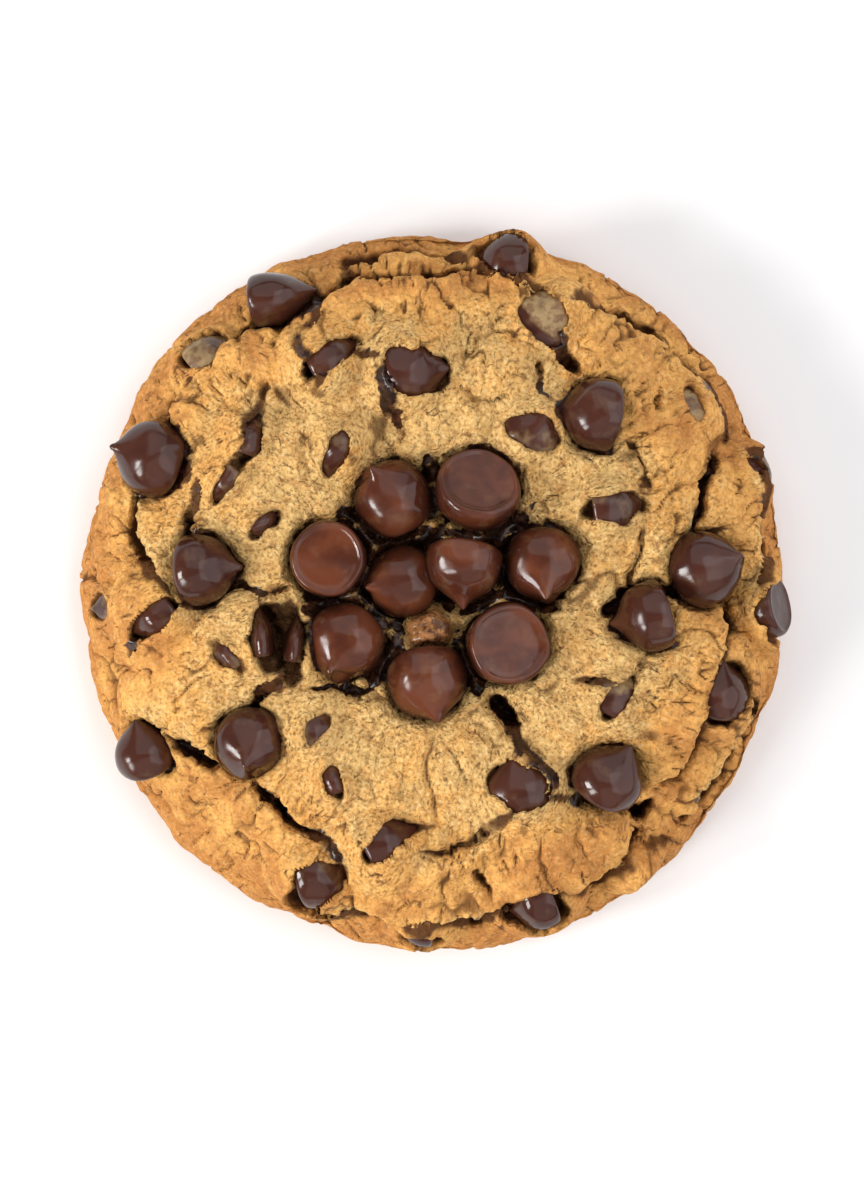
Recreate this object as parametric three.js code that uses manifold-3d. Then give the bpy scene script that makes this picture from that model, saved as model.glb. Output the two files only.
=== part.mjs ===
// A thick chocolate chip cookie, lying flat: one lump of baked dough with a cracked, craggy
// top, and the chocolate chips in it, each a separate piece that sits in its own pocket.
// Millimetres, +Z up. The origin is the middle of the flat base.
import * as THREE from "three";
import { mergeGeometries, mergeVertices } from "three/addons/utils/BufferGeometryUtils.js";
import Module from "manifold-3d";

const wasm = await Module();
wasm.setup();

// Driving dimensions
const COOKIE_RADIUS = 43;
const CHIP_RADIUS = 4.8;
const CHIP_HEIGHT = 8.0;
const POCKET_GAP = 0.35;

// How finely the facets are laid
const TOP_RINGS = 20;
const CHIP_SIDES = 8;
const BLADE_STEP = 3.6;

// The outline's radius at equal angles, anticlockwise from +X
const OUTLINE = [
  42.6, 43.6, 44.2, 43.6, 43.4, 43.9, 43.8, 42.6, 42.4, 42.4, 43.0, 43.1, 43.8, 43.8, 43.6, 43.2,
];

// Half of the cookie's section at its mean radius, from the middle of the top to the base's edge
const SECTION = new THREE.SplineCurve(
  [
    [0, 17.0],
    [11, 17.4],
    [21, 18.0],
    [29, 17.2],
    [34.5, 14.9],
    [38.6, 11.6],
    [41.4, 8.0],
    [42.9, 4.9],
    [42.8, 2.4],
    [41.7, 0.8],
    [40.2, 0],
  ].map(([r, z]) => new THREE.Vector2(r, z)),
);
const BASE_FADE = 4.5; // below this height the side is smooth, so that the base stays flat

// How the dough gives way beside a seam and round a chip
const SEAM_REACH = 4.5;
const SEAM_SAG = 0.3; // share of the seam's depth
const END_FADE = 2.5;
const CUT_DEPTH = 2; // a shallower seam is a fold in the surface and isn't cut open
const BLADE_LIFT = 3;
const PIT_MARGIN = 1.6;
const PIT_DEPTH = 1.5; // round a chip that lies on top, and less round one that is buried
const PIT_LIMIT = 34; // no pit further out than this, where the top falls away

// Seams between the plates of crust. The route is seen from above, and where step isn't zero
// the plate to the left of the route stands that much higher than the plate to its right.
const SEAMS = [
  {
    name: "north ledge",
    width: 1,
    depth: 2.4,
    step: -2.6,
    route: [[-15.5, 30.5], [-13.4, 34.3], [-8.9, 37.2], [-1, 37.3], [5.1, 38.8], [10.9, 37], [13.6, 35.5]],
  },
  {
    name: "north fold",
    width: 0.8,
    depth: 2,
    step: -1.6,
    route: [[-10.9, 39.3], [-6.2, 40.5], [-0.2, 40.9], [5.7, 40.2]],
  },
  {
    name: "gully beside the cap",
    width: 2.6,
    depth: 6,
    step: 0,
    route: [[13.3, 35], [14.6, 32], [15.7, 29], [17.2, 26.3]],
  },
  {
    name: "north-east ledge",
    width: 1,
    depth: 2.2,
    step: -2.2,
    route: [[16.5, 36], [22.3, 33.2], [27.1, 30.7], [30.9, 27.2], [33.5, 23.2], [36.1, 18.1]],
  },
  {
    name: "foot of the cap",
    width: 1.4,
    depth: 3.4,
    step: 1.2,
    route: [[-14.3, 25.6], [-12, 28.4], [-8.9, 29.6], [-5.6, 28.4]],
  },
  {
    name: "slot under the cap",
    width: 2,
    depth: 5,
    step: 0,
    route: [[-5.7, 27], [-5.3, 24], [-4.5, 21.6], [-3.3, 19.2]],
  },
  {
    name: "north-east plate",
    width: 1,
    depth: 2.6,
    step: 0,
    route: [[13.3, 27.4], [12.8, 24.8], [13.5, 22.9]],
  },
  {
    name: "west ledge",
    width: 1.1,
    depth: 2.4,
    step: 2.6,
    route: [
      [-18, 32.8], [-22, 31.5], [-25.4, 29.2], [-28.4, 25.6], [-30.7, 21.8], [-30.9, 17.4],
      [-28.9, 13.6],
    ],
  },
  {
    name: "west crack",
    width: 1.3,
    depth: 4,
    step: 0,
    route: [[-28.5, 13.8], [-28.6, 10.9], [-29.4, 7.6], [-28.6, 5.2]],
  },
  {
    name: "west rim seam",
    width: 1.1,
    depth: 2.6,
    step: 1.6,
    route: [[-35.1, 11.7], [-35.6, 8.4], [-34.9, 4.7], [-32.6, 1.4], [-30.4, -0.8]],
  },
  {
    name: "west rim crack",
    width: 1.6,
    depth: 4,
    step: 0,
    route: [[-30.2, -1.4], [-33.6, -2.6], [-35.8, -5.2], [-36.9, -7.9]],
  },
  {
    name: "gap beside the top chip",
    width: 1.5,
    depth: 3.6,
    step: 0,
    route: [[-16.2, 31.8], [-15.6, 28.8], [-14.8, 26.4]],
  },
  {
    name: "north-west crack",
    width: 1.2,
    depth: 3.2,
    step: 0,
    route: [[-20, 24.3], [-21.3, 20.9], [-21.8, 17.6], [-24.1, 13.9], [-25.8, 10.8]],
  },
  {
    name: "west valley",
    width: 1.2,
    depth: 3,
    step: 0,
    route: [[-30.6, -1.3], [-26.8, -1.4], [-23.6, 0.4], [-20, 0], [-16.9, 0.4]],
  },
  {
    name: "slab crack",
    width: 1.6,
    depth: 4,
    step: 0,
    route: [[-20.2, -0.8], [-18.5, -5.6], [-17.9, -10.3], [-20.4, -12], [-21.2, -14.6]],
  },
  {
    name: "south-west rim crack",
    width: 1.6,
    depth: 4,
    step: 0,
    route: [[-32, -17.4], [-29, -19.4], [-25.6, -21.2]],
  },
  {
    name: "south-west gully",
    width: 1.9,
    depth: 5,
    step: 0,
    route: [[-21, -22.6], [-19, -25.4], [-16.6, -28], [-12.6, -30], [-10.2, -33]],
  },
  {
    name: "south seam",
    width: 1,
    depth: 2.2,
    step: -0.8,
    route: [[-3.2, -31.6], [1, -31.2], [5, -29.6], [9.5, -26.1]],
  },
  {
    name: "south-east gully",
    width: 2.6,
    depth: 6,
    step: 0,
    route: [[6.8, -12.4], [8.6, -15], [10.4, -18.4], [13.7, -21], [14.8, -23.8]],
  },
  {
    name: "south-east seam",
    width: 1.2,
    depth: 3,
    step: 0.6,
    route: [[9.5, -26.1], [14, -24.6], [19, -25.2], [24, -26.6]],
  },
  {
    name: "south slot",
    width: 1.1,
    depth: 2.6,
    step: 0,
    route: [[5, -32.6], [5.5, -34.8], [6.6, -36.8]],
  },
  {
    name: "south ledge",
    width: 1.1,
    depth: 2.4,
    step: 3,
    route: [
      [-15.7, -37], [-9, -38.3], [-3.3, -39.2], [3.7, -39.6], [7.8, -38.4],
      [13, -36.6], [18.5, -34.9], [22.6, -32.6], [25.2, -28.6],
    ],
  },
  {
    name: "south-east ledge",
    width: 1.4,
    depth: 3,
    step: -3,
    route: [[36.1, -2.1], [35.4, -6.4], [33.6, -10.2], [32.6, -14.6], [30.6, -19.4], [27.2, -23.6]],
  },
  {
    name: "south-east skirt",
    width: 0.9,
    depth: 2,
    step: -2.2,
    route: [[38.2, -11.5], [37.4, -16.1], [35.6, -20.7], [32.8, -25], [29.2, -28.4]],
  },
  {
    name: "east shoulder",
    width: 0.8,
    depth: 2,
    step: -1.8,
    route: [[37.4, 18.1], [39.4, 9.6], [39.9, 5], [38.9, -0.4]],
  },
  {
    name: "east crack",
    width: 1.5,
    depth: 4,
    step: 0,
    route: [[34.9, 17], [33.8, 14.4], [32.4, 11.4], [32.1, 7.4]],
  },
  {
    name: "east rim crack",
    width: 1.4,
    depth: 3.4,
    step: 0,
    route: [[36.6, 4.9], [35.7, 0.6], [36.1, -4.6], [35, -8.2]],
  },
  {
    name: "east plate",
    width: 0.8,
    depth: 1.6,
    step: 0,
    route: [[23.5, 17.9], [25.1, 14.7], [25.4, 10.6], [24.4, 4.8], [23.4, 0.6]],
  },
  {
    name: "gap round the pointed chip",
    width: 1.4,
    depth: 3.4,
    step: 0,
    route: [[20.2, -3.1], [23, -0.2], [26.4, 0.6], [30.4, -1.4]],
  },
  {
    name: "corner hole",
    width: 2.4,
    depth: 5,
    step: 0,
    route: [[22.8, -25.4], [24.7, -26.6], [27.2, -25.9]],
  },
];

// The chips, by the area of the top that they are in. at is the middle of the chip's bulk seen
// from above. lean is how far its tip is tilted from straight up, in degrees, and toward is the
// direction of the tip, anticlockwise from +X. rise lifts the bulk's middle off the dough, and a
// negative one buries the chip. slim narrows a broken chip.
const CHIPS = {
  centre: [
    { at: [-4.9, 11.6], lean: 38, toward: 120, rise: -0.2, size: 0.98 },
    { at: [5.3, 11.5], lean: 145, toward: 255, rise: 0.6, size: 1.04 },
    { at: [-12.2, 3.8], lean: 176, toward: 320, rise: 0, size: 0.94 },
    { at: [-4.1, 1.1], lean: 42, toward: 192, rise: -0.9, size: 0.9 },
    { at: [3.8, 2.6], lean: 72, toward: 264, rise: 1.7, size: 0.94 },
    { at: [13.1, 2.9], lean: 38, toward: 272, rise: -0.3, size: 0.95 },
    { at: [-10.6, -6.3], lean: 35, toward: 236, rise: -0.2, size: 0.97 },
    { at: [8.7, -6.2], lean: 170, toward: 190, rise: 0.3, size: 1.02 },
    { at: [-0.4, -11.1], lean: 52, toward: 280, rise: -0.1, size: 0.99 },
  ],
  north: [
    { at: [8.6, 39.4], lean: 80, toward: 175, rise: -0.4, size: 0.85 },
    { at: [13.9, 33.2], lean: 30, toward: 60, rise: -1.8, size: 0.9 },
    { at: [-2.2, 26.2], lean: 70, toward: 0, rise: -0.6, size: 0.9 },
    { at: [-11.8, 27.4], lean: 85, toward: 30, rise: -1.6, size: 0.88 },
    { at: [-18.4, 34.9], lean: 80, toward: 8, rise: 0.3, size: 1, slim: 0.7 },
  ],
  north_east: [
    { at: [19, 21.2], lean: 75, toward: 170, rise: -0.1, size: 0.92 },
    { at: [11.9, 19.2], lean: 20, toward: 45, rise: -1.5, size: 0.8 },
    { at: [31, 22.7], lean: 85, toward: 100, rise: -2.2, size: 0.72 },
  ],
  east: [
    { at: [38.9, 14.7], lean: 80, toward: 60, rise: -1.4, size: 0.75 },
    { at: [21.6, 10], lean: 88, toward: 5, rise: -2.3, size: 0.85 },
    { at: [33.1, 3.1], lean: 45, toward: 25, rise: -0.4, size: 0.95 },
    { at: [25.4, -3.1], lean: 82, toward: 195, rise: -0.8, size: 0.88 },
    { at: [39.9, -2], lean: 115, toward: 190, rise: 0.1, size: 0.74 },
    { at: [34.8, -11.9], lean: 60, toward: 80, rise: -0.9, size: 0.78 },
  ],
  south_east: [
    { at: [21.8, -12.4], lean: 88, toward: 60, rise: -2.2, size: 0.8 },
    { at: [21.2, -21.7], lean: 60, toward: 60, rise: -0.4, size: 0.9 },
    { at: [10.5, -22.9], lean: 55, toward: 95, rise: -1.3, size: 0.85 },
    { at: [24.8, -33.4], lean: 85, toward: 140, rise: -1, size: 0.6 },
  ],
  south: [
    { at: [12.4, -37.4], lean: 88, toward: 200, rise: -0.8, size: 0.8 },
    { at: [-1.4, -40.4], lean: 88, toward: 170, rise: -1.2, size: 0.62 },
    { at: [-5.2, -29.9], lean: 78, toward: 30, rise: -1, size: 0.8 },
    { at: [-13.4, -34], lean: 75, toward: 10, rise: -1, size: 0.85 },
  ],
  south_west: [
    { at: [-21.8, -18.3], lean: 20, toward: 260, rise: -0.8, size: 0.88 },
    { at: [-34.7, -18.9], lean: 60, toward: 110, rise: -0.1, size: 0.78 },
    { at: [-13.8, -15.9], lean: 80, toward: 60, rise: -1.9, size: 0.7 },
    { at: [-12, -22.2], lean: 88, toward: 110, rise: -2, size: 0.66, slim: 0.6 },
  ],
  west: [
    { at: [-24.4, -7.4], lean: 88, toward: 130, rise: -2.1, size: 0.7, slim: 0.6 },
    { at: [-20.2, -5.3], lean: 88, toward: 95, rise: -1.1, size: 0.8, slim: 0.4 },
    { at: [-16.1, -5.9], lean: 88, toward: 85, rise: -1.4, size: 0.8, slim: 0.34 },
    { at: [-33.2, -3.1], lean: 85, toward: 215, rise: -1.1, size: 0.78, slim: 0.8 },
    { at: [-26.9, 2.7], lean: 68, toward: 5, rise: -0.6, size: 0.9 },
    { at: [-39.5, -1.9], lean: 80, toward: 180, rise: -1.5, size: 0.55 },
    { at: [-33.8, 16.1], lean: 62, toward: 163, rise: 0.2, size: 0.96 },
    { at: [-20.1, 8.4], lean: 88, toward: 30, rise: -1.9, size: 0.55, slim: 0.6 },
  ],
  north_west: [
    { at: [-27.4, 28.9], lean: 80, toward: 45, rise: -2.1, size: 0.72 },
    { at: [-11.4, 16.4], lean: 75, toward: 250, rise: -1.2, size: 0.72, slim: 0.7 },
    { at: [-24.8, 13.2], lean: 88, toward: 235, rise: -1.8, size: 0.68, slim: 0.6 },
    { at: [-21.8, 18.4], lean: 88, toward: 70, rise: -1.6, size: 0.68, slim: 0.6 },
  ],
};

// A chip's half section as shares of its radius and height, from the base's middle to the tip
const CHIP_SECTION = [
  [0, 0],
  [0.84, 0],
  [1, 0.18],
  [0.84, 0.48],
  [0.36, 0.8],
  [0, 1],
];
const CHIP_BULK = 0.34; // height of the bulk's middle, as a share of the chip's height

const FULL_TURN = 2 * Math.PI;
const degrees = THREE.MathUtils.degToRad;
const smoothstep = THREE.MathUtils.smoothstep;

// The outline's radius at an angle, as a smooth closed curve through OUTLINE.
function outlineRadius(angle) {
  const place = (((angle / FULL_TURN) % 1) + 1) * OUTLINE.length;
  const i = Math.floor(place);
  const t = place - i;
  const [a, b, c, d] = [-1, 0, 1, 2].map((k) => OUTLINE[(i + k) % OUTLINE.length]);
  return b + 0.5 * t * (c - a + t * (2 * a - 5 * b + 4 * c - d + t * (3 * (b - c) + d - a)));
}

// A point of the smooth cookie before any crag. share runs along the section from 0 in the
// middle of the top to 1 at the base's edge.
function smoothSurface(share, angle) {
  const point = SECTION.getPointAt(share);
  const tangent = SECTION.getTangentAt(share);
  const radius = (point.x * outlineRadius(angle)) / COOKIE_RADIUS;
  const [c, s] = [Math.cos(angle), Math.sin(angle)];
  return {
    point: new THREE.Vector3(radius * c, radius * s, point.y),
    normal: new THREE.Vector3(-tangent.y * c, -tangent.y * s, tangent.x).normalize(),
  };
}

// The point of the smooth top that is seen from above at x, y.
function surfaceAbove(x, y) {
  const angle = Math.atan2(y, x);
  const wanted = (Math.hypot(x, y) * COOKIE_RADIUS) / outlineRadius(angle);
  let [low, high] = [0, 0.86];
  for (let i = 0; i < 24; i++) {
    const middle = (low + high) / 2;
    if (SECTION.getPointAt(middle).x < wanted) low = middle;
    else high = middle;
  }
  return smoothSurface(low, angle);
}

// A seam's route as closely spaced points, and its length.
function tracedSeam(seam) {
  const curve = new THREE.SplineCurve(seam.route.map(([x, y]) => new THREE.Vector2(x, y)));
  const length = curve.getLength();
  return { ...seam, curve, length, points: curve.getSpacedPoints(Math.ceil(length)) };
}

// How near a seam passes to x, y, on which side, and how far that is from the seam's ends.
function nearSeam(seam, x, y) {
  let best = { distance: Infinity, side: 1, fromEnd: 0 };
  for (let i = 0; i + 1 < seam.points.length; i++) {
    const a = seam.points[i];
    const b = seam.points[i + 1];
    const run = b.clone().sub(a);
    const t = THREE.MathUtils.clamp(((x - a.x) * run.x + (y - a.y) * run.y) / run.lengthSq(), 0, 1);
    const distance = Math.hypot(x - a.x - t * run.x, y - a.y - t * run.y);
    if (distance >= best.distance) continue;
    const along = ((i + t) / (seam.points.length - 1)) * seam.length;
    const side = Math.sign(run.x * (y - a.y) - run.y * (x - a.x)) || 1;
    best = { distance, side, fromEnd: Math.min(along, seam.length - along) };
  }
  return best;
}

// Height of the crags above the smooth cookie at x, y.
function relief(x, y) {
  let height = 0.35 * Math.sin(0.42 * x + 1.3) * Math.cos(0.37 * y - 0.6);
  height += 0.2 * Math.sin(0.83 * x - 0.51 * y);
  for (const seam of seams) {
    const { distance, side, fromEnd } = nearSeam(seam, x, y);
    const fade = Math.exp(-distance / SEAM_REACH);
    height += 0.5 * seam.step * side * fade * smoothstep(fromEnd, 0, END_FADE);
    height -= Math.min(1.2, SEAM_SAG * seam.depth) * fade * fade;
  }
  const pits = chips.map(({ at, size, rise }) => {
    if (Math.hypot(...at) > PIT_LIMIT) return 0;
    const away = Math.hypot(x - at[0], y - at[1]) - CHIP_RADIUS * size;
    const pit = PIT_DEPTH * smoothstep(rise, -2.2, -0.2);
    return pit * (1 - smoothstep(away, -PIT_MARGIN, PIT_MARGIN));
  });
  return height - Math.max(...pits);
}

// A closed three.js geometry as a manifold-3d solid, turned right side out.
function solidOf(geometry) {
  const bare = geometry.clone();
  bare.deleteAttribute("normal");
  bare.deleteAttribute("uv");
  const merged = mergeVertices(bare, 1e-4);
  const vertProperties = merged.attributes.position.array;
  const triVerts = new Uint32Array(merged.index.array);
  const made = new wasm.Manifold(new wasm.Mesh({ numProp: 3, vertProperties, triVerts }));
  if (made.volume() > 0) return made;
  for (let i = 0; i < triVerts.length; i += 3) {
    [triVerts[i], triVerts[i + 1]] = [triVerts[i + 1], triVerts[i]];
  }
  return new wasm.Manifold(new wasm.Mesh({ numProp: 3, vertProperties, triVerts }));
}

// A manifold-3d solid as a three.js geometry with flat facets.
function geometryOf(solid) {
  const { numProp, vertProperties, triVerts } = solid.getMesh();
  const positions = new Float32Array(triVerts.length * 3);
  triVerts.forEach((v, i) => {
    positions.set(vertProperties.subarray(v * numProp, v * numProp + 3), i * 3);
  });
  const geometry = new THREE.BufferGeometry();
  geometry.setAttribute("position", new THREE.BufferAttribute(positions, 3));
  geometry.computeVertexNormals();
  return geometry;
}

// The uncut lump: a square grid wrapped over the top and down the side, closed by a flat disc.
function doughLump() {
  const rimStep = FULL_TURN / (8 * TOP_RINGS);
  const top = new THREE.PlaneGeometry(2, 2, 2 * TOP_RINGS, 2 * TOP_RINGS);
  const at = top.attributes.position;
  for (let i = 0; i < at.count; i++) {
    const [u, v] = [at.getX(i), at.getY(i)];
    const share = Math.max(Math.abs(u), Math.abs(v));
    let angle = 0;
    if (share > 0) {
      const across = Math.abs(u) >= Math.abs(v);
      const ratio = across ? v / u : -u / v;
      const start = across ? (u > 0 ? 0 : Math.PI) : v > 0 ? Math.PI / 2 : -Math.PI / 2;
      angle = start + (Math.PI / 4) * ratio;
    }
    if (share > 0.999) angle = Math.round(angle / rimStep) * rimStep;
    const { point, normal } = smoothSurface(Math.min(share, 1), angle);
    const crag = relief(point.x, point.y) * smoothstep(point.z, 0, BASE_FADE);
    point.addScaledVector(normal, crag);
    at.setXYZ(i, point.x, point.y, share > 0.999 ? 0 : Math.max(point.z, 0.05));
  }
  const base = new THREE.CircleGeometry(1, 8 * TOP_RINGS);
  const edge = base.attributes.position;
  for (let i = 1; i < edge.count; i++) {
    const angle = Math.round(Math.atan2(edge.getY(i), edge.getX(i)) / rimStep) * rimStep;
    const { point } = smoothSurface(1, angle);
    edge.setXYZ(i, point.x, point.y, 0);
  }
  base.index.array.reverse();
  return solidOf(mergeGeometries([top, base]));
}

// A three-sided blade bent along a seam, whose lower edge is at the seam's depth.
function seamBlade(seam) {
  const steps = Math.max(2, Math.round(seam.length / BLADE_STEP));
  const blade = new THREE.CylinderGeometry(1, 1, 1, 3, steps);
  const at = blade.attributes.position;
  const widest = (0.5 * seam.width * (BLADE_LIFT + seam.depth)) / seam.depth;
  for (let i = 0; i < at.count; i++) {
    const along = at.getY(i) + 0.5;
    const across = at.getX(i) / Math.sin(Math.PI / 3);
    const down = (at.getZ(i) + 0.5) / 1.5;
    const taper = 0.35 + 0.65 * smoothstep(Math.min(along, 1 - along) * seam.length, 0, END_FADE);
    const middle = seam.curve.getPointAt(along);
    const run = seam.curve.getTangentAt(along);
    const { point, normal } = surfaceAbove(middle.x, middle.y);
    const sideways = new THREE.Vector3(-run.y, run.x, 0);
    point.addScaledVector(sideways, across * widest * taper);
    point.addScaledVector(normal, BLADE_LIFT * (1 - down) - seam.depth * taper * down);
    at.setXYZ(i, point.x, point.y, point.z);
  }
  return solidOf(blade);
}

// A chip's own shape, its bulk's middle at the origin and its tip up, grown by gap all round.
function chipGeometry({ size, slim = 1 }, gap = 0) {
  const height = CHIP_HEIGHT * size;
  const outline = CHIP_SECTION.map(([r, z], i) => {
    const grown = r === 0 ? 0 : r * CHIP_RADIUS * size + 1.3 * gap;
    const lift = (i < 2 ? -gap : 0) + (i === CHIP_SECTION.length - 1 ? 1.6 * gap : 0);
    return new THREE.Vector2(grown, (z - CHIP_BULK) * height + lift);
  });
  const geometry = new THREE.LatheGeometry(outline, CHIP_SIDES).rotateX(Math.PI / 2);
  const radius = CHIP_RADIUS * size;
  return geometry.scale(1, (radius * slim + 1.3 * gap) / (radius + 1.3 * gap), 1);
}

// Puts a chip, or the tool that cuts its pocket, where it lies in the dough.
function placeChip(object, { at, lean, toward, rise }) {
  const { point, normal } = surfaceAbove(...at);
  object.position.copy(point.addScaledVector(normal, rise));
  object.rotation.set(0, degrees(lean), degrees(toward), "ZYX");
  object.updateMatrix();
  return object;
}

// The dough with its seams cut open and a pocket for each chip. Loose scraps are dropped.
function makeDough() {
  const blades = seams.filter((seam) => seam.depth >= CUT_DEPTH).map(seamBlade);
  const pockets = chips.map((chip) => {
    const tool = placeChip(new THREE.Mesh(chipGeometry(chip, POCKET_GAP)), chip);
    return solidOf(tool.geometry.applyMatrix4(tool.matrix));
  });
  let dough = doughLump();
  for (const tool of [...blades, ...pockets]) dough = dough.subtract(tool);
  const pieces = dough.decompose().sort((a, b) => b.volume() - a.volume());
  return new THREE.Mesh(
    geometryOf(pieces[0]),
    new THREE.MeshStandardMaterial({ color: 0xd09a55, roughness: 0.9, metalness: 0 }),
  );
}

function makeChip(chip) {
  const mesh = new THREE.Mesh(
    chipGeometry(chip),
    new THREE.MeshStandardMaterial({ color: 0x4a2418, roughness: 0.35, metalness: 0 }),
  );
  mesh.name = chip.name;
  return placeChip(mesh, chip);
}

const seams = SEAMS.map(tracedSeam);
const chips = Object.entries(CHIPS).flatMap(([area, group]) =>
  group.map((chip, i) => ({ name: `chip_${area}_${i + 1}`, ...chip })),
);

const cookie = new THREE.Group();
const dough = makeDough();
dough.name = "dough";
cookie.add(dough);
for (const chip of chips) cookie.add(makeChip(chip));

export default cookie;
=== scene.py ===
"""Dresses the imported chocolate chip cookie.

The dough is one fine mesh, wrapped over the cookie's section and sculpted with its ledges, cracks,
pits and crumb. Each chip is spun from one section where the frame's own chip lies. Sizes are in
millimetres until a mesh is finished, and +Z is up.
"""

import itertools
import logging
import math
from dataclasses import dataclass, field
from enum import Enum
from functools import cached_property

import bmesh
import bpy
import numpy as np
from mathutils import Matrix, Vector
from mathutils.bvhtree import BVHTree

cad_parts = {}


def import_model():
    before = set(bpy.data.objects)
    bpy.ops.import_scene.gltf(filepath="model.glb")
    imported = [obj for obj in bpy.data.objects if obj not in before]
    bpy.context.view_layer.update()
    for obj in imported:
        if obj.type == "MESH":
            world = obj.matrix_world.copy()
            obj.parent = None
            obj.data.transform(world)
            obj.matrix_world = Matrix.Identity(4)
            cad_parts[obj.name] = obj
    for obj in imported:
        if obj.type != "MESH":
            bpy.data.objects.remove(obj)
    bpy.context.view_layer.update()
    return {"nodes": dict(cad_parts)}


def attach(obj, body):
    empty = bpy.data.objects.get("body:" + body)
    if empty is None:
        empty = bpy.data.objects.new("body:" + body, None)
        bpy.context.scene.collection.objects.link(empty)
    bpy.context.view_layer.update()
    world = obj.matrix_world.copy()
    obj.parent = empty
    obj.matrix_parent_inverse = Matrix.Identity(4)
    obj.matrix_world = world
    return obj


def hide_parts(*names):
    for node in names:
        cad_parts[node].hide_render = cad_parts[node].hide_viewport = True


log = logging.getLogger("cookie")

MM = 0.001
BODY = "root"

Socket = bpy.types.NodeSocket
Colour = tuple[float, float, float]
Span = tuple[float, float]


class Slot(Enum):
    """The material slots."""

    DOUGH = "dough"
    CHOCOLATE = "chocolate"


def smoothstep(value: np.ndarray, low: float, high: float) -> np.ndarray:
    """Rises smoothly from 0 to 1.

    Args:
        value: the numbers to map.
        low: where the rise starts.
        high: where the rise ends.

    Returns:
        The rise at each number.
    """
    share = np.clip((value - low) / (high - low), 0.0, 1.0)
    return share * share * (3.0 - 2.0 * share)


def spline(points: tuple[tuple[float, float], ...], per_span: int = 24) -> np.ndarray:
    """Draws a smooth curve through plan or section points.

    Args:
        points: the points that the curve passes through.
        per_span: how many steps each span between two points takes.

    Returns:
        The curve's points, one row each.
    """
    knots = np.array([points[0], *points, points[-1]], float)
    share = np.linspace(0.0, 1.0, per_span, endpoint=False)[:, None]
    rows = []
    for a, b, c, d in zip(knots, knots[1:], knots[2:], knots[3:]):
        bend = 2.0 * a - 5.0 * b + 4.0 * c - d + share * (3.0 * (b - c) + d - a)
        rows.append(b + 0.5 * share * (c - a + share * bend))
    rows.append(knots[-1:])
    return np.vstack(rows)


def to_mesh(shape: bmesh.types.BMesh, name: str) -> bpy.types.Mesh:
    """Turns a finished shape into a mesh.

    Args:
        shape: the shape, which is freed.
        name: the mesh's name.

    Returns:
        The mesh.
    """
    mesh = bpy.data.meshes.new(name)
    shape.to_mesh(mesh)
    shape.free()
    return mesh


def to_scene(name: str, data: bpy.types.ID) -> bpy.types.Object:
    """Puts a mesh, camera or light into the scene.

    Args:
        name: the object's name.
        data: what the object shows.

    Returns:
        The object.
    """
    item = bpy.data.objects.new(name, data)
    bpy.context.scene.collection.objects.link(item)
    return item


def read_points(mesh: bpy.types.Mesh, kind: str = "co") -> np.ndarray:
    """Reads the places or normals of a mesh's points.

    Args:
        mesh: the mesh.
        kind: co for the places, or normal.

    Returns:
        One row for each point.
    """
    flat = np.zeros(len(mesh.vertices) * 3)
    mesh.vertices.foreach_get(kind, flat)
    return flat.reshape(-1, 3)


def move_points(mesh: bpy.types.Mesh, places: np.ndarray) -> None:
    """Moves a mesh's points to places that are given in millimetres."""
    mesh.vertices.foreach_set("co", (places * MM).ravel())
    mesh.update()


def paint_points(mesh: bpy.types.Mesh, name: str, values: np.ndarray) -> None:
    """Paints a number on each of a mesh's points."""
    layer = mesh.attributes.new(name, "FLOAT", "POINT")
    layer.data.foreach_set("value", values.astype(np.float32))


class Lattice:
    """Smooth, repeatable noise through space, from a seeded table.

    drift_offsets are how far apart the three parts of a noise vector are read.
    """

    drift_offsets = (0.0, 31.7, 63.1)

    def __init__(self, seed: int, size: int = 4096) -> None:
        """Fills the table.

        Args:
            seed: picks the table's values.
            size: how many entries it has, a power of two.
        """
        draw = np.random.default_rng(seed)
        slopes = draw.normal(size=(size, 3))
        self._slopes = slopes / np.linalg.norm(slopes, axis=1, keepdims=True)
        draw.bit_generator.advance(3 * size)  # the order is drawn further along the stream
        self._order = draw.permutation(size)
        self._mask = size - 1

    def _entry(self, cell: np.ndarray) -> np.ndarray:
        """Picks the table's entry for each cell of space.

        Args:
            cell: the cells' whole-number places, one row each.

        Returns:
            The index of each cell's entry.
        """
        first = self._order[cell[:, 0] & self._mask]
        second = self._order[(first + cell[:, 1]) & self._mask]
        return self._order[(second + cell[:, 2]) & self._mask]

    def smooth(self, points: np.ndarray, wavelength: float) -> np.ndarray:
        """Gives one octave of noise.

        Args:
            points: where to read it.
            wavelength: the noise's size, in the points' own unit.

        Returns:
            A value at each point, about -1 to 1.
        """
        place = points / wavelength
        cell = np.floor(place).astype(int)
        part = place - cell
        ease = part * part * (3.0 - 2.0 * part)
        total = np.zeros(len(points))
        for corner in itertools.product((0, 1), repeat=3):
            weight = np.prod(np.where(corner, ease, 1.0 - ease), axis=1)
            slope = self._slopes[self._entry(cell + corner)]
            total += weight * np.sum(slope * (part - corner), axis=1)
        return 1.6 * total

    def drift(self, points: np.ndarray, *layers: tuple[float, float]) -> np.ndarray:
        """Gives a noise vector at each point, for pushing it aside.

        Args:
            points: where to read it.
            layers: the strength and wavelength of each layer of noise.

        Returns:
            The layers' sum, one row for each point.
        """
        total = np.zeros((len(points), 3))
        for strength, wavelength in layers:
            axes = [self.smooth(points + offset, wavelength) for offset in self.drift_offsets]
            total += strength * np.stack(axes, axis=1)
        return total


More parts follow.
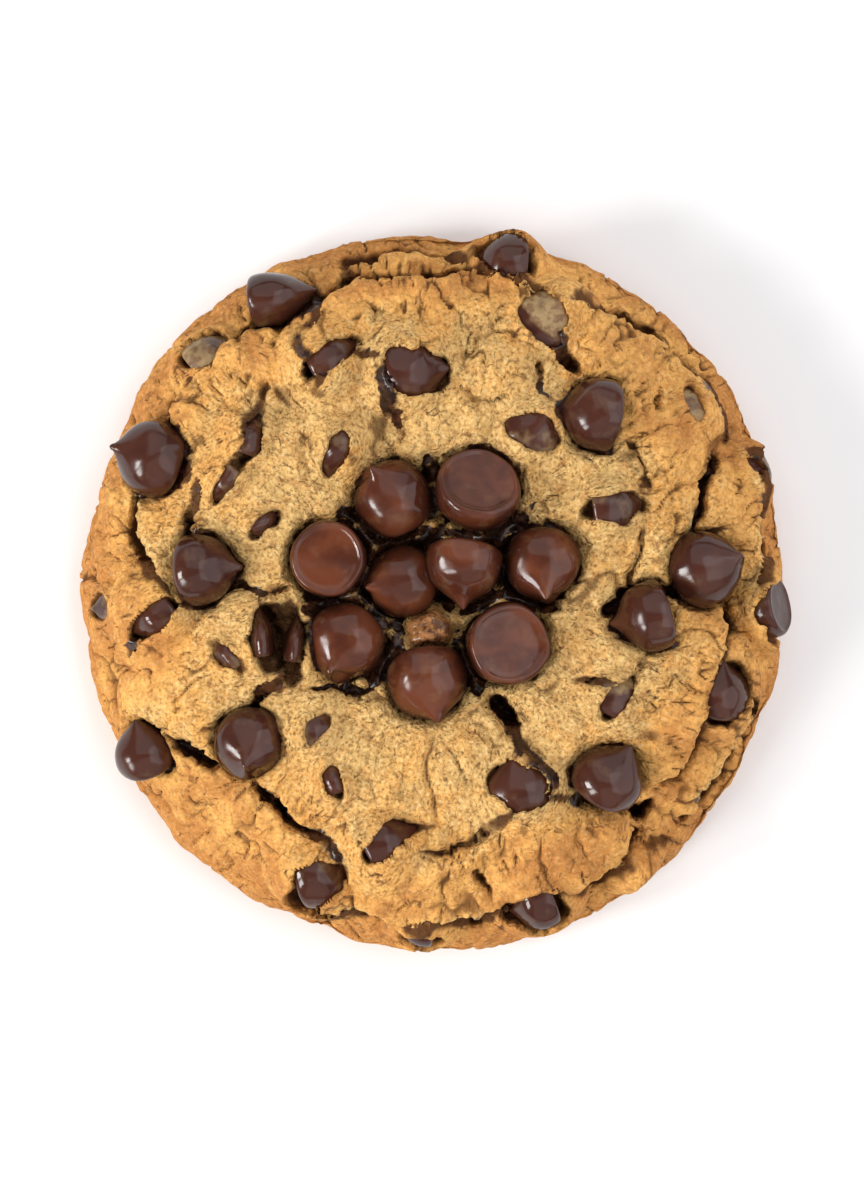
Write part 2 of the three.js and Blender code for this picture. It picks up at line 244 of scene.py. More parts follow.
@dataclass(frozen=True)
class CookieForm:
    """The smooth cookie before any crag: its outline from above and its section."""

    radius: float = 43.0
    outline: tuple[float, ...] = (
        42.6, 43.6, 44.2, 43.6, 43.4, 43.9, 43.8, 42.6,
        42.4, 42.4, 43.0, 43.1, 43.8, 43.8, 43.6, 43.2,
    )
    section: tuple[tuple[float, float], ...] = (
        (0, 17.0), (11, 17.4), (21, 18.0), (29, 17.2), (34.5, 14.9), (38.6, 11.6),
        (41.4, 8.0), (42.9, 4.9), (42.8, 2.4), (41.7, 0.8), (40.2, 0),
    )
    base_fade: float = 4.5

    def outline_radius(self, angle: np.ndarray) -> np.ndarray:
        """Reads the outline from above.

        Args:
            angle: directions from the middle, anticlockwise from +X.

        Returns:
            The radius in each direction.
        """
        count = len(self.outline)
        place = np.mod(angle / math.tau, 1.0) * count
        first = np.floor(place).astype(int)
        t = place - first
        ring = np.array(self.outline)
        a, b, c, d = (ring[(first + k) % count] for k in (-1, 0, 1, 2))
        return b + 0.5 * t * (c - a + t * (2 * a - 5 * b + 4 * c - d + t * (3 * (b - c) + d - a)))

    @cached_property
    def _profile(self) -> tuple[np.ndarray, np.ndarray]:
        """Draws the section's curve.

        Returns:
            Its closely spaced points, and each one's share of its length.
        """
        points = spline(self.section, 40)
        steps = np.linalg.norm(np.diff(points, axis=0), axis=1)
        run = np.concatenate([[0.0], np.cumsum(steps)])
        return points, run / run[-1]

    def surface(self, share: np.ndarray, angle: np.ndarray) -> tuple[np.ndarray, np.ndarray]:
        """Finds points of the smooth surface.

        Args:
            share: the way along the section, from 0 in the middle of the top to 1 at the base.
            angle: the direction from the middle, anticlockwise from +X.

        Returns:
            The points and the surface's outward normals there.
        """
        points, shares = self._profile
        slope = np.gradient(points, axis=0)
        slope /= np.linalg.norm(slope, axis=1, keepdims=True)
        radius = np.interp(share, shares, points[:, 0]) * self.outline_radius(angle) / self.radius
        height = np.interp(share, shares, points[:, 1])
        out = -np.interp(share, shares, slope[:, 1])
        up = np.interp(share, shares, slope[:, 0])
        cos, sin = np.cos(angle), np.sin(angle)
        normals = np.stack([out * cos, out * sin, up], axis=1)
        normals /= np.linalg.norm(normals, axis=1, keepdims=True)
        return np.stack([radius * cos, radius * sin, height], axis=1), normals

    def above(self, plan: np.ndarray) -> tuple[np.ndarray, np.ndarray]:
        """Finds the smooth top over points of the plan.

        Args:
            plan: the points of the plan.

        Returns:
            The top's points and normals there.
        """
        angle = np.arctan2(plan[:, 1], plan[:, 0])
        wanted = np.linalg.norm(plan, axis=1) * self.radius / self.outline_radius(angle)
        points, shares = self._profile
        top = slice(0, int(np.argmax(points[:, 0])))
        return self.surface(np.interp(wanted, points[top, 0], shares[top]), angle)


@dataclass(frozen=True)
class SeamReading:
    """What a seam measures at points of the plan near it."""

    index: np.ndarray
    distance: np.ndarray
    side: np.ndarray
    along: np.ndarray
    from_end: np.ndarray
    outward: np.ndarray


@dataclass(frozen=True)
class Seam:
    """A crack or ledge between plates of crust.

    Where step isn't zero, the plate to the left of the route stands that much higher than the
    plate to its right. chocolate is how much of the crack's floor is melted chocolate.
    """

    name: str
    width: float
    depth: float
    step: float
    route: tuple[tuple[float, float], ...]
    chocolate: float = 0.35

    def read(self, plan: np.ndarray, reach: float) -> SeamReading:
        """Measures the seam from each point of the plan within reach of it.

        Args:
            plan: the points, one row each.
            reach: how far from the seam's box a point may be.

        Returns:
            The seam's measures at those points.
        """
        line = spline(self.route, 6)
        low, high = line.min(axis=0) - reach, line.max(axis=0) + reach
        index = np.flatnonzero(np.all((plan > low) & (plan < high), axis=1))
        here = plan[index]
        best = np.full(len(index), np.inf)
        side, along = np.ones(len(index)), np.zeros(len(index))
        outward = np.zeros((len(index), 2))
        walked = 0.0
        for start, end in zip(line, line[1:]):
            run = end - start
            length = float(np.linalg.norm(run))
            if length == 0.0:
                continue
            t = np.clip((here - start) @ run / length**2, 0.0, 1.0)
            away = here - start - t[:, None] * run
            distance = np.linalg.norm(away, axis=1)
            nearer = distance < best
            turn = run[0] * (here[:, 1] - start[1]) - run[1] * (here[:, 0] - start[0])
            best = np.where(nearer, distance, best)
            side = np.where(nearer, np.where(turn >= 0.0, 1.0, -1.0), side)
            along = np.where(nearer, walked + t * length, along)
            outward = np.where(nearer[:, None], away, outward)
            walked += length
        outward = outward / np.maximum(best, 1e-6)[:, None]
        return SeamReading(index, best, side, along, np.minimum(along, walked - along), outward)


SEAMS = (
    Seam("north ledge", 1.0, 2.4, -2.6,
         ((-15.5, 30.5), (-13.4, 34.3), (-8.9, 37.2), (-1, 37.3), (5.1, 38.8), (10.9, 37),
          (13.6, 35.5))),
    Seam("north fold", 0.8, 2.0, -1.6, ((-10.9, 39.3), (-6.2, 40.5), (-0.2, 40.9), (5.7, 40.2))),
    Seam("gully beside the cap", 2.0, 6.0, 0.0,
         ((13.3, 35), (14.6, 32), (15.7, 29), (17.2, 26.3)), 1.0),
    Seam("north-east ledge", 1.0, 2.2, -2.2,
         ((16.5, 36), (22.3, 33.2), (27.1, 30.7), (30.9, 27.2), (33.5, 23.2), (36.1, 18.1))),
    Seam("foot of the cap", 1.4, 3.4, 1.2,
         ((-14.3, 25.6), (-12, 28.4), (-8.9, 29.6), (-5.6, 28.4)), 0.4),
    Seam("slot under the cap", 2.0, 5.0, 0.0,
         ((-5.7, 27), (-5.3, 24), (-4.5, 21.6), (-3.3, 19.2)), 1.0),
    Seam("north-east plate", 1.0, 2.6, 0.0, ((13.3, 27.4), (12.8, 24.8), (13.5, 22.9)), 0.7),
    Seam("west ledge", 1.1, 2.4, 2.6,
         ((-18, 32.8), (-22, 31.5), (-25.4, 29.2), (-28.4, 25.6), (-30.7, 21.8), (-30.9, 17.4),
          (-28.9, 13.6))),
    Seam("west crack", 1.3, 4.0, 0.0, ((-28.5, 13.8), (-28.6, 10.9), (-29.4, 7.6), (-28.6, 5.2)), 0.3),
    Seam("west rim seam", 1.1, 2.6, 1.6,
         ((-35.1, 11.7), (-35.6, 8.4), (-34.9, 4.7), (-32.6, 1.4), (-30.4, -0.8))),
    Seam("west rim crack", 1.6, 4.0, 0.0,
         ((-30.2, -1.4), (-33.6, -2.6), (-35.8, -5.2), (-36.9, -7.9)), 0.7),
    Seam("gap beside the top chip", 1.5, 3.6, 0.0, ((-16.2, 31.8), (-15.6, 28.8), (-14.8, 26.4)), 0.4),
    Seam("north-west crack", 1.2, 3.2, 0.0,
         ((-20, 24.3), (-21.3, 20.9), (-21.8, 17.6), (-24.1, 13.9), (-25.8, 10.8)), 0.45),
    Seam("west valley", 1.2, 3.0, 0.0,
         ((-30.6, -1.3), (-26.8, -1.4), (-23.6, 0.4), (-20, 0), (-16.9, 0.4)), 0.7),
    Seam("slab crack", 1.6, 4.0, 0.0,
         ((-20.2, -0.8), (-18.5, -5.6), (-17.9, -10.3), (-20.4, -12), (-21.2, -14.6)), 1.0),
    Seam("south-west rim crack", 1.6, 4.0, 0.0, ((-32, -17.4), (-29, -19.4), (-25.6, -21.2)), 0.7),
    Seam("south-west gully", 1.5, 4.4, 0.0,
         ((-21, -22.6), (-19, -25.4), (-16.6, -28), (-12.6, -30), (-10.2, -33)), 0.8),
    Seam("south seam", 1.0, 2.2, -0.8, ((-3.2, -31.6), (1, -31.2), (5, -29.6), (9.5, -26.1))),
    Seam("south-east gully", 2.3, 6.0, 0.0,
         ((6.8, -12.4), (8.6, -15), (10.4, -18.4), (13.7, -21), (14.8, -23.8)), 1.0),
    Seam("south-east seam", 1.2, 3.0, 0.6, ((9.5, -26.1), (14, -24.6), (19, -25.2), (24, -26.6)), 0.6),
    Seam("south slot", 1.1, 2.6, 0.0, ((5, -32.6), (5.5, -34.8), (6.6, -36.8))),
    Seam("south ledge", 1.1, 2.4, 3.0,
         ((-15.7, -37), (-9, -38.3), (-3.3, -39.2), (3.7, -39.6), (7.8, -38.4), (13, -36.6),
          (18.5, -34.9), (22.6, -32.6), (25.2, -28.6))),
    Seam("south-east ledge", 1.4, 3.0, -3.0,
         ((36.1, -2.1), (35.4, -6.4), (33.6, -10.2), (32.6, -14.6), (30.6, -19.4), (27.2, -23.6))),
    Seam("south-east skirt", 0.9, 2.0, -2.2,
         ((38.2, -11.5), (37.4, -16.1), (35.6, -20.7), (32.8, -25), (29.2, -28.4))),
    Seam("east shoulder", 0.8, 2.0, -1.8, ((37.4, 18.1), (39.4, 9.6), (39.9, 5), (38.9, -0.4))),
    Seam("east crack", 1.5, 4.0, 0.0, ((34.9, 17), (33.8, 14.4), (32.4, 11.4), (32.1, 7.4)), 0.7),
    Seam("east rim crack", 1.4, 3.4, 0.0, ((36.6, 4.9), (35.7, 0.6), (36.1, -4.6), (35, -8.2)), 0.6),
    Seam("east plate", 0.8, 1.6, 0.0,
         ((23.5, 17.9), (25.1, 14.7), (25.4, 10.6), (24.4, 4.8), (23.4, 0.6))),
    Seam("gap round the pointed chip", 1.4, 3.4, 0.0,
         ((20.2, -3.1), (23, -0.2), (26.4, 0.6), (30.4, -1.4)), 0.8),
    Seam("corner hole", 2.4, 5.0, 0.0, ((22.8, -25.4), (24.7, -26.6), (27.2, -25.9)), 1.0),
    Seam("cap hairline", 0.5, 1.1, 0.0,
         ((0.5, 27.7), (2.6, 28.1), (4.9, 28.4), (5.4, 30.3), (8.8, 33.3)), 0.0),
    Seam("cap wrinkle one", 0.5, 0.8, 0.0, ((-1.9, 33.0), (-2.4, 31.2), (-3.3, 29.4)), 0.0),
    Seam("cap wrinkle two", 0.5, 0.8, 0.0, ((-7.6, 34.2), (-7.0, 32.6), (-6.9, 31.0)), 0.0),
    Seam("cap wrinkle three", 0.4, 0.7, 0.0, ((1.7, 35.0), (3.0, 33.4), (3.3, 31.4)), 0.0),
    Seam("middle hairline", 0.5, 1.0, 0.0,
         ((3.2, 24.4), (4.7, 23.3), (7.2, 22.6), (8.9, 23.6)), 0.0),
    Seam("south crack", 0.7, 1.5, 0.0, ((-8.7, -26.8), (-8.6, -28.9), (-8.2, -30.3)), 0.2),
    Seam("west hole one", 1.2, 3.0, 0.0, ((-25.3, 22.6), (-25.4, 21.1)), 0.5),
    Seam("west hole two", 1.2, 3.0, 0.0, ((-25.6, 18.3), (-26.0, 16.9)), 0.5),
    Seam("low hairline", 0.6, 1.5, 0.0,
         ((26.8, -6.8), (24.9, -8.3), (23.3, -10.0), (23.0, -12.7), (21.1, -14.6)), 0.2),
    Seam("east of the middle", 0.7, 1.5, 0.0, ((18.6, 9.0), (17.2, 7.4), (18.2, 4.5)), 0.4),
    Seam("north-east wrinkle", 0.6, 1.2, 0.0, ((27.6, 24.8), (26.8, 23.1), (26.8, 21.5)), 0.0),
    Seam("south of the middle", 0.9, 1.6, 0.0,
         ((-15.5, -11.5), (-12.0, -11.5), (-7.9, -11.8), (-4.9, -12.9)), 0.8),
)


@dataclass(frozen=True)
class Opening:
    """An oval gap in the crust through which part of a buried chip shows, seen from above.

    film is how much of the chip there is still coated with dough.
    """

    at: tuple[float, float]
    length: float
    width: float
    turn: float
    film: float = 0.0

    def beyond(self, plan: np.ndarray) -> np.ndarray:
        """Measures how far points of the plan are outside the opening.

        Args:
            plan: the points of the plan.

        Returns:
            The distance of each, negative inside the opening.
        """
        turn = math.radians(self.turn)
        away = plan - np.array(self.at)
        along = away[:, 0] * math.cos(turn) + away[:, 1] * math.sin(turn)
        across = away[:, 1] * math.cos(turn) - away[:, 0] * math.sin(turn)
        oval = np.hypot(2.0 * along / self.length, 2.0 * across / self.width)
        return (oval - 1.0) * 0.5 * self.width


SHARED_OPENINGS = (Opening((-19.1, -5.3), 7.6, 4.2, 92), Opening((-16.6, -6.2), 9.2, 3.0, 94))

OPENINGS = {
    "chip_north_1": (Opening((8.8, 39.2), 6.2, 2.4, -20),),
    "chip_north_2": (
        Opening((12.8, 32.3), 5.8, 3.4, -50), Opening((14.1, 33.7), 4.2, 2.4, -50, 0.85),
    ),
    "chip_north_3": (Opening((-1.5, 26.0), 7.4, 4.6, -5),),
    "chip_north_4": (Opening((-11.9, 27.8), 7.2, 1.9, 36),),
    "chip_north_east_2": (Opening((12.0, 18.9), 6.4, 3.9, -20, 0.25),),
    "chip_north_east_3": (Opening((31.3, 22.7), 3.8, 1.5, -70, 0.7),),
    "chip_east_1": (Opening((39.3, 14.8), 4.0, 1.9, -65, 0.3),),
    "chip_east_2": (Opening((21.9, 10.0), 7.0, 2.8, 8, 0.15),),
    "chip_east_5": (Opening((41.6, -2.2), 8.0, 5.2, 85),),
    "chip_east_6": (Opening((35.0, -12.0), 7.2, 4.2, 75),),
    "chip_south_east_1": (
        Opening((22.2, -12.6), 5.2, 1.9, 56), Opening((19.4, -10.5), 3.8, 1.0, 0, 0.5),
    ),
    "chip_south_east_3": (Opening((9.9, -22.9), 7.0, 4.8, -15),),
    "chip_south_east_4": (Opening((25.0, -34.3), 3.6, 1.6, 50, 0.5),),
    "chip_south_1": (Opening((12.1, -37.9), 7.2, 3.0, 12),),
    "chip_south_2": (Opening((-1.3, -41.1), 4.2, 1.2, -12),),
    "chip_south_3": (Opening((-5.4, -29.4), 5.8, 2.3, 45), Opening((-2.8, -28.2), 4.4, 1.0, 8)),
    "chip_south_4": (Opening((-13.3, -34.8), 7.4, 4.4, 30, 0.1),),
    "chip_south_west_3": (Opening((-13.5, -15.9), 4.2, 2.1, 55, 0.35),),
    "chip_south_west_4": (Opening((-11.7, -22.4), 3.6, 1.9, -70, 0.1),),
    "chip_west_1": (Opening((-24.1, -7.8), 4.0, 1.5, -43, 0.25),),
    "chip_west_2": SHARED_OPENINGS,
    "chip_west_3": SHARED_OPENINGS,
    "chip_west_4": (Opening((-33.1, -3.2), 5.8, 2.3, 40),),
    "chip_west_6": (Opening((-39.8, -1.8), 2.8, 2.2, 90, 0.45),),
    "chip_west_8": (Opening((-19.7, 8.1), 4.0, 1.2, 33),),
    "chip_north_west_1": (Opening((-27.1, 28.8), 5.6, 2.2, 35, 0.6),),
    "chip_north_west_2": (Opening((-11.4, 16.5), 5.2, 2.1, 66, 0.1),),
    "chip_north_west_3": (Opening((-24.2, 13.2), 5.4, 1.6, 52, 0.25),),
    "chip_north_west_4": (Opening((-21.4, 17.6), 4.8, 1.8, 68, 0.25),),
}


@dataclass(frozen=True)
class ChipPose:
    """Where one chip of the frame lies, read from its mesh: its base, axis and size."""

    name: str
    base: Vector
    tip: Vector
    radius: float
    slimness: float
    matrix: Matrix

    @property
    def height(self) -> float:
        """The length from the base's middle to the tip."""
        return (self.tip - self.base).length

    @property
    def bulk(self) -> Vector:
        """The middle of the chip's bulk."""
        return self.base.lerp(self.tip, 0.34)

    @property
    def central(self) -> bool:
        """Whether the chip is one of those grouped in the middle."""
        return self.name.startswith("chip_centre")

    def outside(self, points: np.ndarray) -> np.ndarray:
        """Measures how far points are outside the chip.

        Args:
            points: the points.

        Returns:
            The distance of each, 0 inside the chip.
        """
        local = (points - np.array(self.base)) @ np.array(self.matrix.to_3x3())
        local[:, 1] /= self.slimness
        along = np.clip(local[:, 2] / self.height, 0.0, 1.0)
        levels, girths = zip((0, 0.95), (0.18, 1), (0.48, 0.84), (0.8, 0.36), (1, 0))
        beside = np.hypot(local[:, 0], local[:, 1]) - self.radius * np.interp(along, levels, girths)
        beyond = np.maximum(-local[:, 2], local[:, 2] - self.height)
        return np.hypot(np.maximum(beside, 0.0), np.maximum(beyond, 0.0))

    @classmethod
    def of(cls, node: bpy.types.Object) -> "ChipPose":
        """Reads a chip's place from its node: both ends of its axis are where all sides meet.

        Args:
            node: the frame's chip.

        Returns:
            The chip's pose, in millimetres.
        """
        shape = bmesh.new()
        shape.from_mesh(node.data)
        bmesh.ops.remove_doubles(shape, verts=shape.verts, dist=0.01 * MM)
        ends = sorted(shape.verts, key=lambda v: len(v.link_edges))[-2:]
        points = np.array([v.co for v in shape.verts]) / MM
        places = [Vector(v.co) / MM for v in ends]
        shape.free()
        middle = Vector(points.mean(axis=0))
        base, tip = sorted(places, key=lambda place: (place - middle).length)
        axis = (tip - base).normalized()
        side = Vector((0, 0, 1)).cross(axis).normalized()
        front = side.cross(axis).normalized()
        away = points - np.array(base)
        radius = float(np.abs(away @ np.array(front)).max())
        across = float(np.abs(away @ np.array(side)).max())
        turn = Matrix((front, side, axis)).transposed().to_4x4()
        return cls(
            name=node.name, base=base, tip=tip, radius=radius, slimness=across / radius,
            matrix=Matrix.Translation(base) @ turn,
        )


@dataclass(frozen=True)
class Wiring:
    """A material's node tree, with the few kinds of node that the finishes join."""

    tree: bpy.types.NodeTree

    def feed(self, shader: bpy.types.Node, name: str, value: Socket) -> None:
        """Joins a value to one of the shader's inputs."""
        self.tree.links.new(value, shader.inputs[name])

    def painted(self, name: str, output: str = "Fac") -> Socket:
        """Reads what is painted on the mesh.

        Args:
            name: what it is painted as.
            output: Fac for a number, or Vector.

        Returns:
            The painted value.
        """
        node = self.tree.nodes.new("ShaderNodeAttribute")
        node.attribute_name = name
        return node.outputs[output]

    def place(self) -> Socket:
        """Gives the place on the object itself."""
        return self.tree.nodes.new("ShaderNodeTexCoord").outputs["Object"]

    def noise(self, wavelength: float, detail: float, warp: float = 0.0) -> Socket:
        """Makes a noise pattern on the object.

        Args:
            wavelength: the pattern's size in millimetres.
            detail: how many finer octaves it has.
            warp: how much it is bent.

        Returns:
            The pattern, about 0.5 on average.
        """
        node = self.tree.nodes.new("ShaderNodeTexNoise")
        node.inputs["Scale"].default_value = 1.0 / (wavelength * MM)
        node.inputs["Detail"].default_value = detail
        node.inputs["Distortion"].default_value = warp
        self.tree.links.new(self.place(), node.inputs["Vector"])
        return node.outputs["Fac"]

    def ramp(self, value: Socket, source: Span, target: Span) -> Socket:
        """Maps a value from one range to another, smoothly.

        Args:
            value: the value to map.
            source: the range that it is mapped from, beyond which it is held.
            target: the range that it is mapped to.

        Returns:
            The mapped value.
        """
        node = self.tree.nodes.new("ShaderNodeMapRange")
        node.interpolation_type = "SMOOTHSTEP"
        self.tree.links.new(value, node.inputs["Value"])
        for socket, number in zip(node.inputs[1:5], (*source, *target)):
            socket.default_value = number
        return node.outputs["Result"]

    def patches(
        self, wavelength: float, detail: float, source: Span, target: Span, warp: float = 0.0
    ) -> Socket:
        """Makes a noise pattern and maps it from the source range to the target range."""
        return self.ramp(self.noise(wavelength, detail, warp), source, target)

    def join(self, operation: str, first: Socket, second: "Socket | float") -> Socket:
        """Joins two values by one operation.

        Args:
            operation: the operation, such as ADD.
            first: the first value.
            second: the second value, or a plain number.

        Returns:
            The result.
        """
        node = self.tree.nodes.new("ShaderNodeMath")
        node.operation = operation
        self.tree.links.new(first, node.inputs[0])
        if isinstance(second, float):
            node.inputs[1].default_value = second
        else:
            self.tree.links.new(second, node.inputs[1])
        return node.outputs[0]

    def mix(self, share: Socket, first: "Socket | Colour", second: "Socket | Colour") -> Socket:
        """Mixes two colours.

        Args:
            share: how much of the second colour is taken, from 0 to 1.
            first: the first colour.
            second: the second colour.

        Returns:
            The mixed colour.
        """
        node = self.tree.nodes.new("ShaderNodeMix")
        node.data_type = "RGBA"
        self.tree.links.new(share, node.inputs["Factor"])
        for name, colour in (("A", first), ("B", second)):
            socket = next(s for s in node.inputs if s.name == name and s.type == "RGBA")
            if isinstance(colour, tuple):
                socket.default_value = (*colour, 1.0)
            else:
                self.tree.links.new(colour, socket)
        return next(s for s in node.outputs if s.type == "RGBA")

    def bump(self, height: Socket, depth: float, below: "Socket | None" = None) -> Socket:
        """Turns a height pattern into relief.

        Args:
            height: the pattern.
            depth: how many millimetres there are from its 0 to its 1.
            below: the relief that this one lies on.

        Returns:
            The relief's normal.
        """
        node = self.tree.nodes.new("ShaderNodeBump")
        node.inputs["Strength"].default_value = 1.0
        node.inputs["Distance"].default_value = depth * MM
        self.tree.links.new(height, node.inputs["Height"])
        if below is not None:
            self.tree.links.new(below, node.inputs["Normal"])
        return node.outputs["Normal"]

    def pushed(self, place: Socket, wavelength: float, reach: float) -> Socket:
        """Pushes places aside by noise, so that straight patterns come out crooked.

        Args:
            place: the places.
            wavelength: the noise's size in millimetres.
            reach: how many millimetres its 1 pushes.

        Returns:
            The pushed places.
        """
        warp = self.tree.nodes.new("ShaderNodeTexNoise")
        warp.inputs["Scale"].default_value = 1.0 / (wavelength * MM)
        warp.inputs["Detail"].default_value = 2.0
        self.tree.links.new(place, warp.inputs["Vector"])
        push = self.tree.nodes.new("ShaderNodeVectorMath")
        push.operation = "MULTIPLY_ADD"
        self.tree.links.new(warp.outputs["Color"], push.inputs[0])
        push.inputs[1].default_value = (reach * MM,) * 3
        self.tree.links.new(place, push.inputs[2])
        return push.outputs[0]

    def cells(self, place: Socket, spacing: float, feature: str = "F1") -> Socket:
        """Splits space into cells.

        Args:
            place: the places where the cells are read.
            spacing: their size in millimetres.
            feature: F1 for the distance from a cell's middle, or DISTANCE_TO_EDGE.

        Returns:
            The distance, as a share of the spacing.
        """
        node = self.tree.nodes.new("ShaderNodeTexVoronoi")
        node.feature = feature
        node.inputs["Scale"].default_value = 1.0 / (spacing * MM)
        self.tree.links.new(place, node.inputs["Vector"])
        return node.outputs["Distance"]


@dataclass(frozen=True)
class Finish:
    """A material's makings, shared by every finish."""

    name: str

    def _start(self) -> tuple[bpy.types.Material, Wiring, bpy.types.Node]:
        """Opens a material with its shader.

        Returns:
            The material, its wiring and its Principled BSDF.
        """
        material = bpy.data.materials.new(self.name)
        material.use_nodes = True
        tree = material.node_tree
        return material, Wiring(tree), tree.nodes["Principled BSDF"]


@dataclass(frozen=True)
class CrumbFinish(Finish):
    """Baked dough: pale crumb, golden crust, brown rim and melted chocolate, with painted shade in its
    cracks, creases and pits, and painted highlights on its grains' tops and ledges' lips.

    The spacings and depths are in millimetres.
    """

    name: str = "baked crumb"
    pale: Colour = (0.72, 0.452, 0.162)
    golden: Colour = (0.79, 0.41, 0.112)
    brown: Colour = (0.53, 0.225, 0.060)
    # Painted shade in the crust's wrinkle lines and in the gaps between clumps.
    wrinkle: Colour = (0.22, 0.088, 0.028)
    # Colour of the specks, and painted shade in the pits between grains.
    fleck_and_pit_shade: Colour = (0.21, 0.115, 0.045)
    # Painted highlight: the pale colour laid on the grains' tops.
    grit: Colour = (0.93, 0.69, 0.33)
    # Painted shade: the dark colour laid in cuts, cracks, round hugged chips, under ledges and in
    # openings.
    crevice_shade: Colour = (0.065, 0.022, 0.009)
    caramel: Colour = (0.34, 0.145, 0.046)
    melted: Colour = (0.019, 0.0062, 0.0028)
    thin_melt: Colour = (0.075, 0.026, 0.011)
    roughness: float = 0.85
    wet_roughness: float = 0.35
    wet_coat: float = 0.55
    coat_roughness: float = 0.22
    specular: float = 0.08
    grain: float = 0.8
    clump: float = 0.95
    mottle: float = 1.3
    fine_spacing: float = 1.25
    deep_spacing: float = 2.3
    lump_depth: float = 0.40
    clump_depth: float = 0.22
    grit_depth: float = 0.34
    line_depth: float = 0.22

    @staticmethod
    def _wrinkles(wires: Wiring, spacing: float, width: float, cover: Span) -> Socket:
        """Draws short, crooked lines between cells of crust.

        Args:
            wires: the material's wiring.
            spacing: the cells' size in millimetres.
            width: the lines' half width, as a share of the spacing.
            cover: the range of a slow noise over which the lines appear.

        Returns:
            1 on the lines and 0 off them.
        """
        place = wires.pushed(wires.painted("outward_place", "Vector"), 0.8 * spacing, 0.9 * spacing)
        edge = wires.cells(place, spacing, "DISTANCE_TO_EDGE")
        lines = wires.ramp(edge, (0.0, width), (1, 0))
        return wires.join("MULTIPLY", lines, wires.patches(0.75 * spacing, 1.0, cover, (0, 1)))

    def _lines(self, wires: Wiring) -> Socket:
        """Draws the fine and the deep wrinkles together.

        Args:
            wires: the material's wiring.

        Returns:
            How dark the lines are, from 0 off them.
        """
        fine = self._wrinkles(wires, self.fine_spacing, 0.17, (0.42, 0.60))
        deep = self._wrinkles(wires, self.deep_spacing, 0.075, (0.56, 0.66))
        faint, strong = wires.join("MULTIPLY", fine, 0.26), wires.join("MULTIPLY", deep, 0.7)
        return wires.join("MAXIMUM", faint, strong)

    def _clumps(self, wires: Wiring) -> Socket:
        """Makes rounded clumps of crumb.

        Args:
            wires: the material's wiring.

        Returns:
            1 on the clumps' tops and 0 between them.
        """
        size = self.clump
        place = wires.pushed(wires.painted("outward_place", "Vector"), 1.4 * size, 1.2 * size)
        return wires.ramp(wires.cells(place, size), (0.0, 0.85), (1, 0))

    def _grit(self, wires: Wiring) -> Socket:
        """Makes uneven grains of crumb.

        Args:
            wires: the material's wiring.

        Returns:
            High values on the grains' tops and low ones in the pits between them.
        """
        grains = wires.ramp(wires.cells(wires.place(), 0.85 * self.grain), (0.0, 0.85), (0.20, 0))
        cloud = wires.join("MULTIPLY", wires.noise(0.5 * self.grain, 3.0), 0.82)
        return wires.join("ADD", grains, cloud)

    def _crust(self, wires: Wiring, browning_and_lip_highlight: Socket) -> Socket:
        """Colours the plain crust.

        Args:
            wires: the material's wiring.
            browning_and_lip_highlight: how brown it is baked.

        Returns:
            The crust's colour, from pale to brown, with its mottling and specks.
        """
        patches = wires.patches(5.0, 4.0, (0.3, 0.7), (-0.22, 0.22), 0.6)
        toned = wires.join("ADD", browning_and_lip_highlight, patches)
        light = wires.mix(wires.ramp(toned, (0.05, 0.55), (0, 1)), self.pale, self.golden)
        crust = wires.mix(wires.ramp(toned, (0.5, 1.05), (0, 1)), light, self.brown)
        mottle = wires.patches(self.mottle, 3.0, (0.40, 0.72), (0, 0.42))
        specks = wires.patches(0.6 * self.grain, 2.0, (0.56, 0.70), (0, 0.5))
        return wires.mix(specks, wires.mix(mottle, crust, self.brown), self.fleck_and_pit_shade)

    def _melt(self, wires: Wiring) -> tuple[Socket, Socket]:
        """Spreads melted chocolate on the dough.

        Args:
            wires: the material's wiring.

        Returns:
            Where the chocolate covers the dough, and its colour.
        """
        edge = wires.patches(1.8, 3.0, (0.3, 0.7), (-0.28, 0.28))
        ragged = wires.join("ADD", wires.painted("melt"), edge)
        thin = wires.patches(1.5, 2.0, (0.44, 0.66), (0, 1))
        return wires.ramp(ragged, (0.42, 0.60), (0, 1)), wires.mix(thin, self.melted, self.thin_melt)

    def material(self) -> bpy.types.Material:
        """Builds the crumb's material, which reads what is painted on the dough.

        Returns:
            The material.
        """
        material, wires, shader = self._start()
        browning_and_lip_highlight, glaze = wires.painted("browning_and_lip_highlight"), wires.painted("glaze")
        lines, clumps, grit = self._lines(wires), self._clumps(wires), self._grit(wires)
        # Painted shade in the gaps between clumps and in the wrinkle lines, which the bump below also
        # sinks.
        gaps = wires.ramp(clumps, (0.0, 0.40), (0.22, 0))
        line_and_gap_shade = wires.join("MAXIMUM", lines, gaps)
        marked = wires.mix(line_and_gap_shade, self._crust(wires, browning_and_lip_highlight), self.wrinkle)
        open_crumb = wires.ramp(browning_and_lip_highlight, (0.30, 0.75), (1, 0.35))
        # Painted shade in the pits between grains, where the grain relief is low.
        pits = wires.join("MULTIPLY", wires.ramp(grit, (0.32, 0.44), (0.65, 0)), open_crumb)
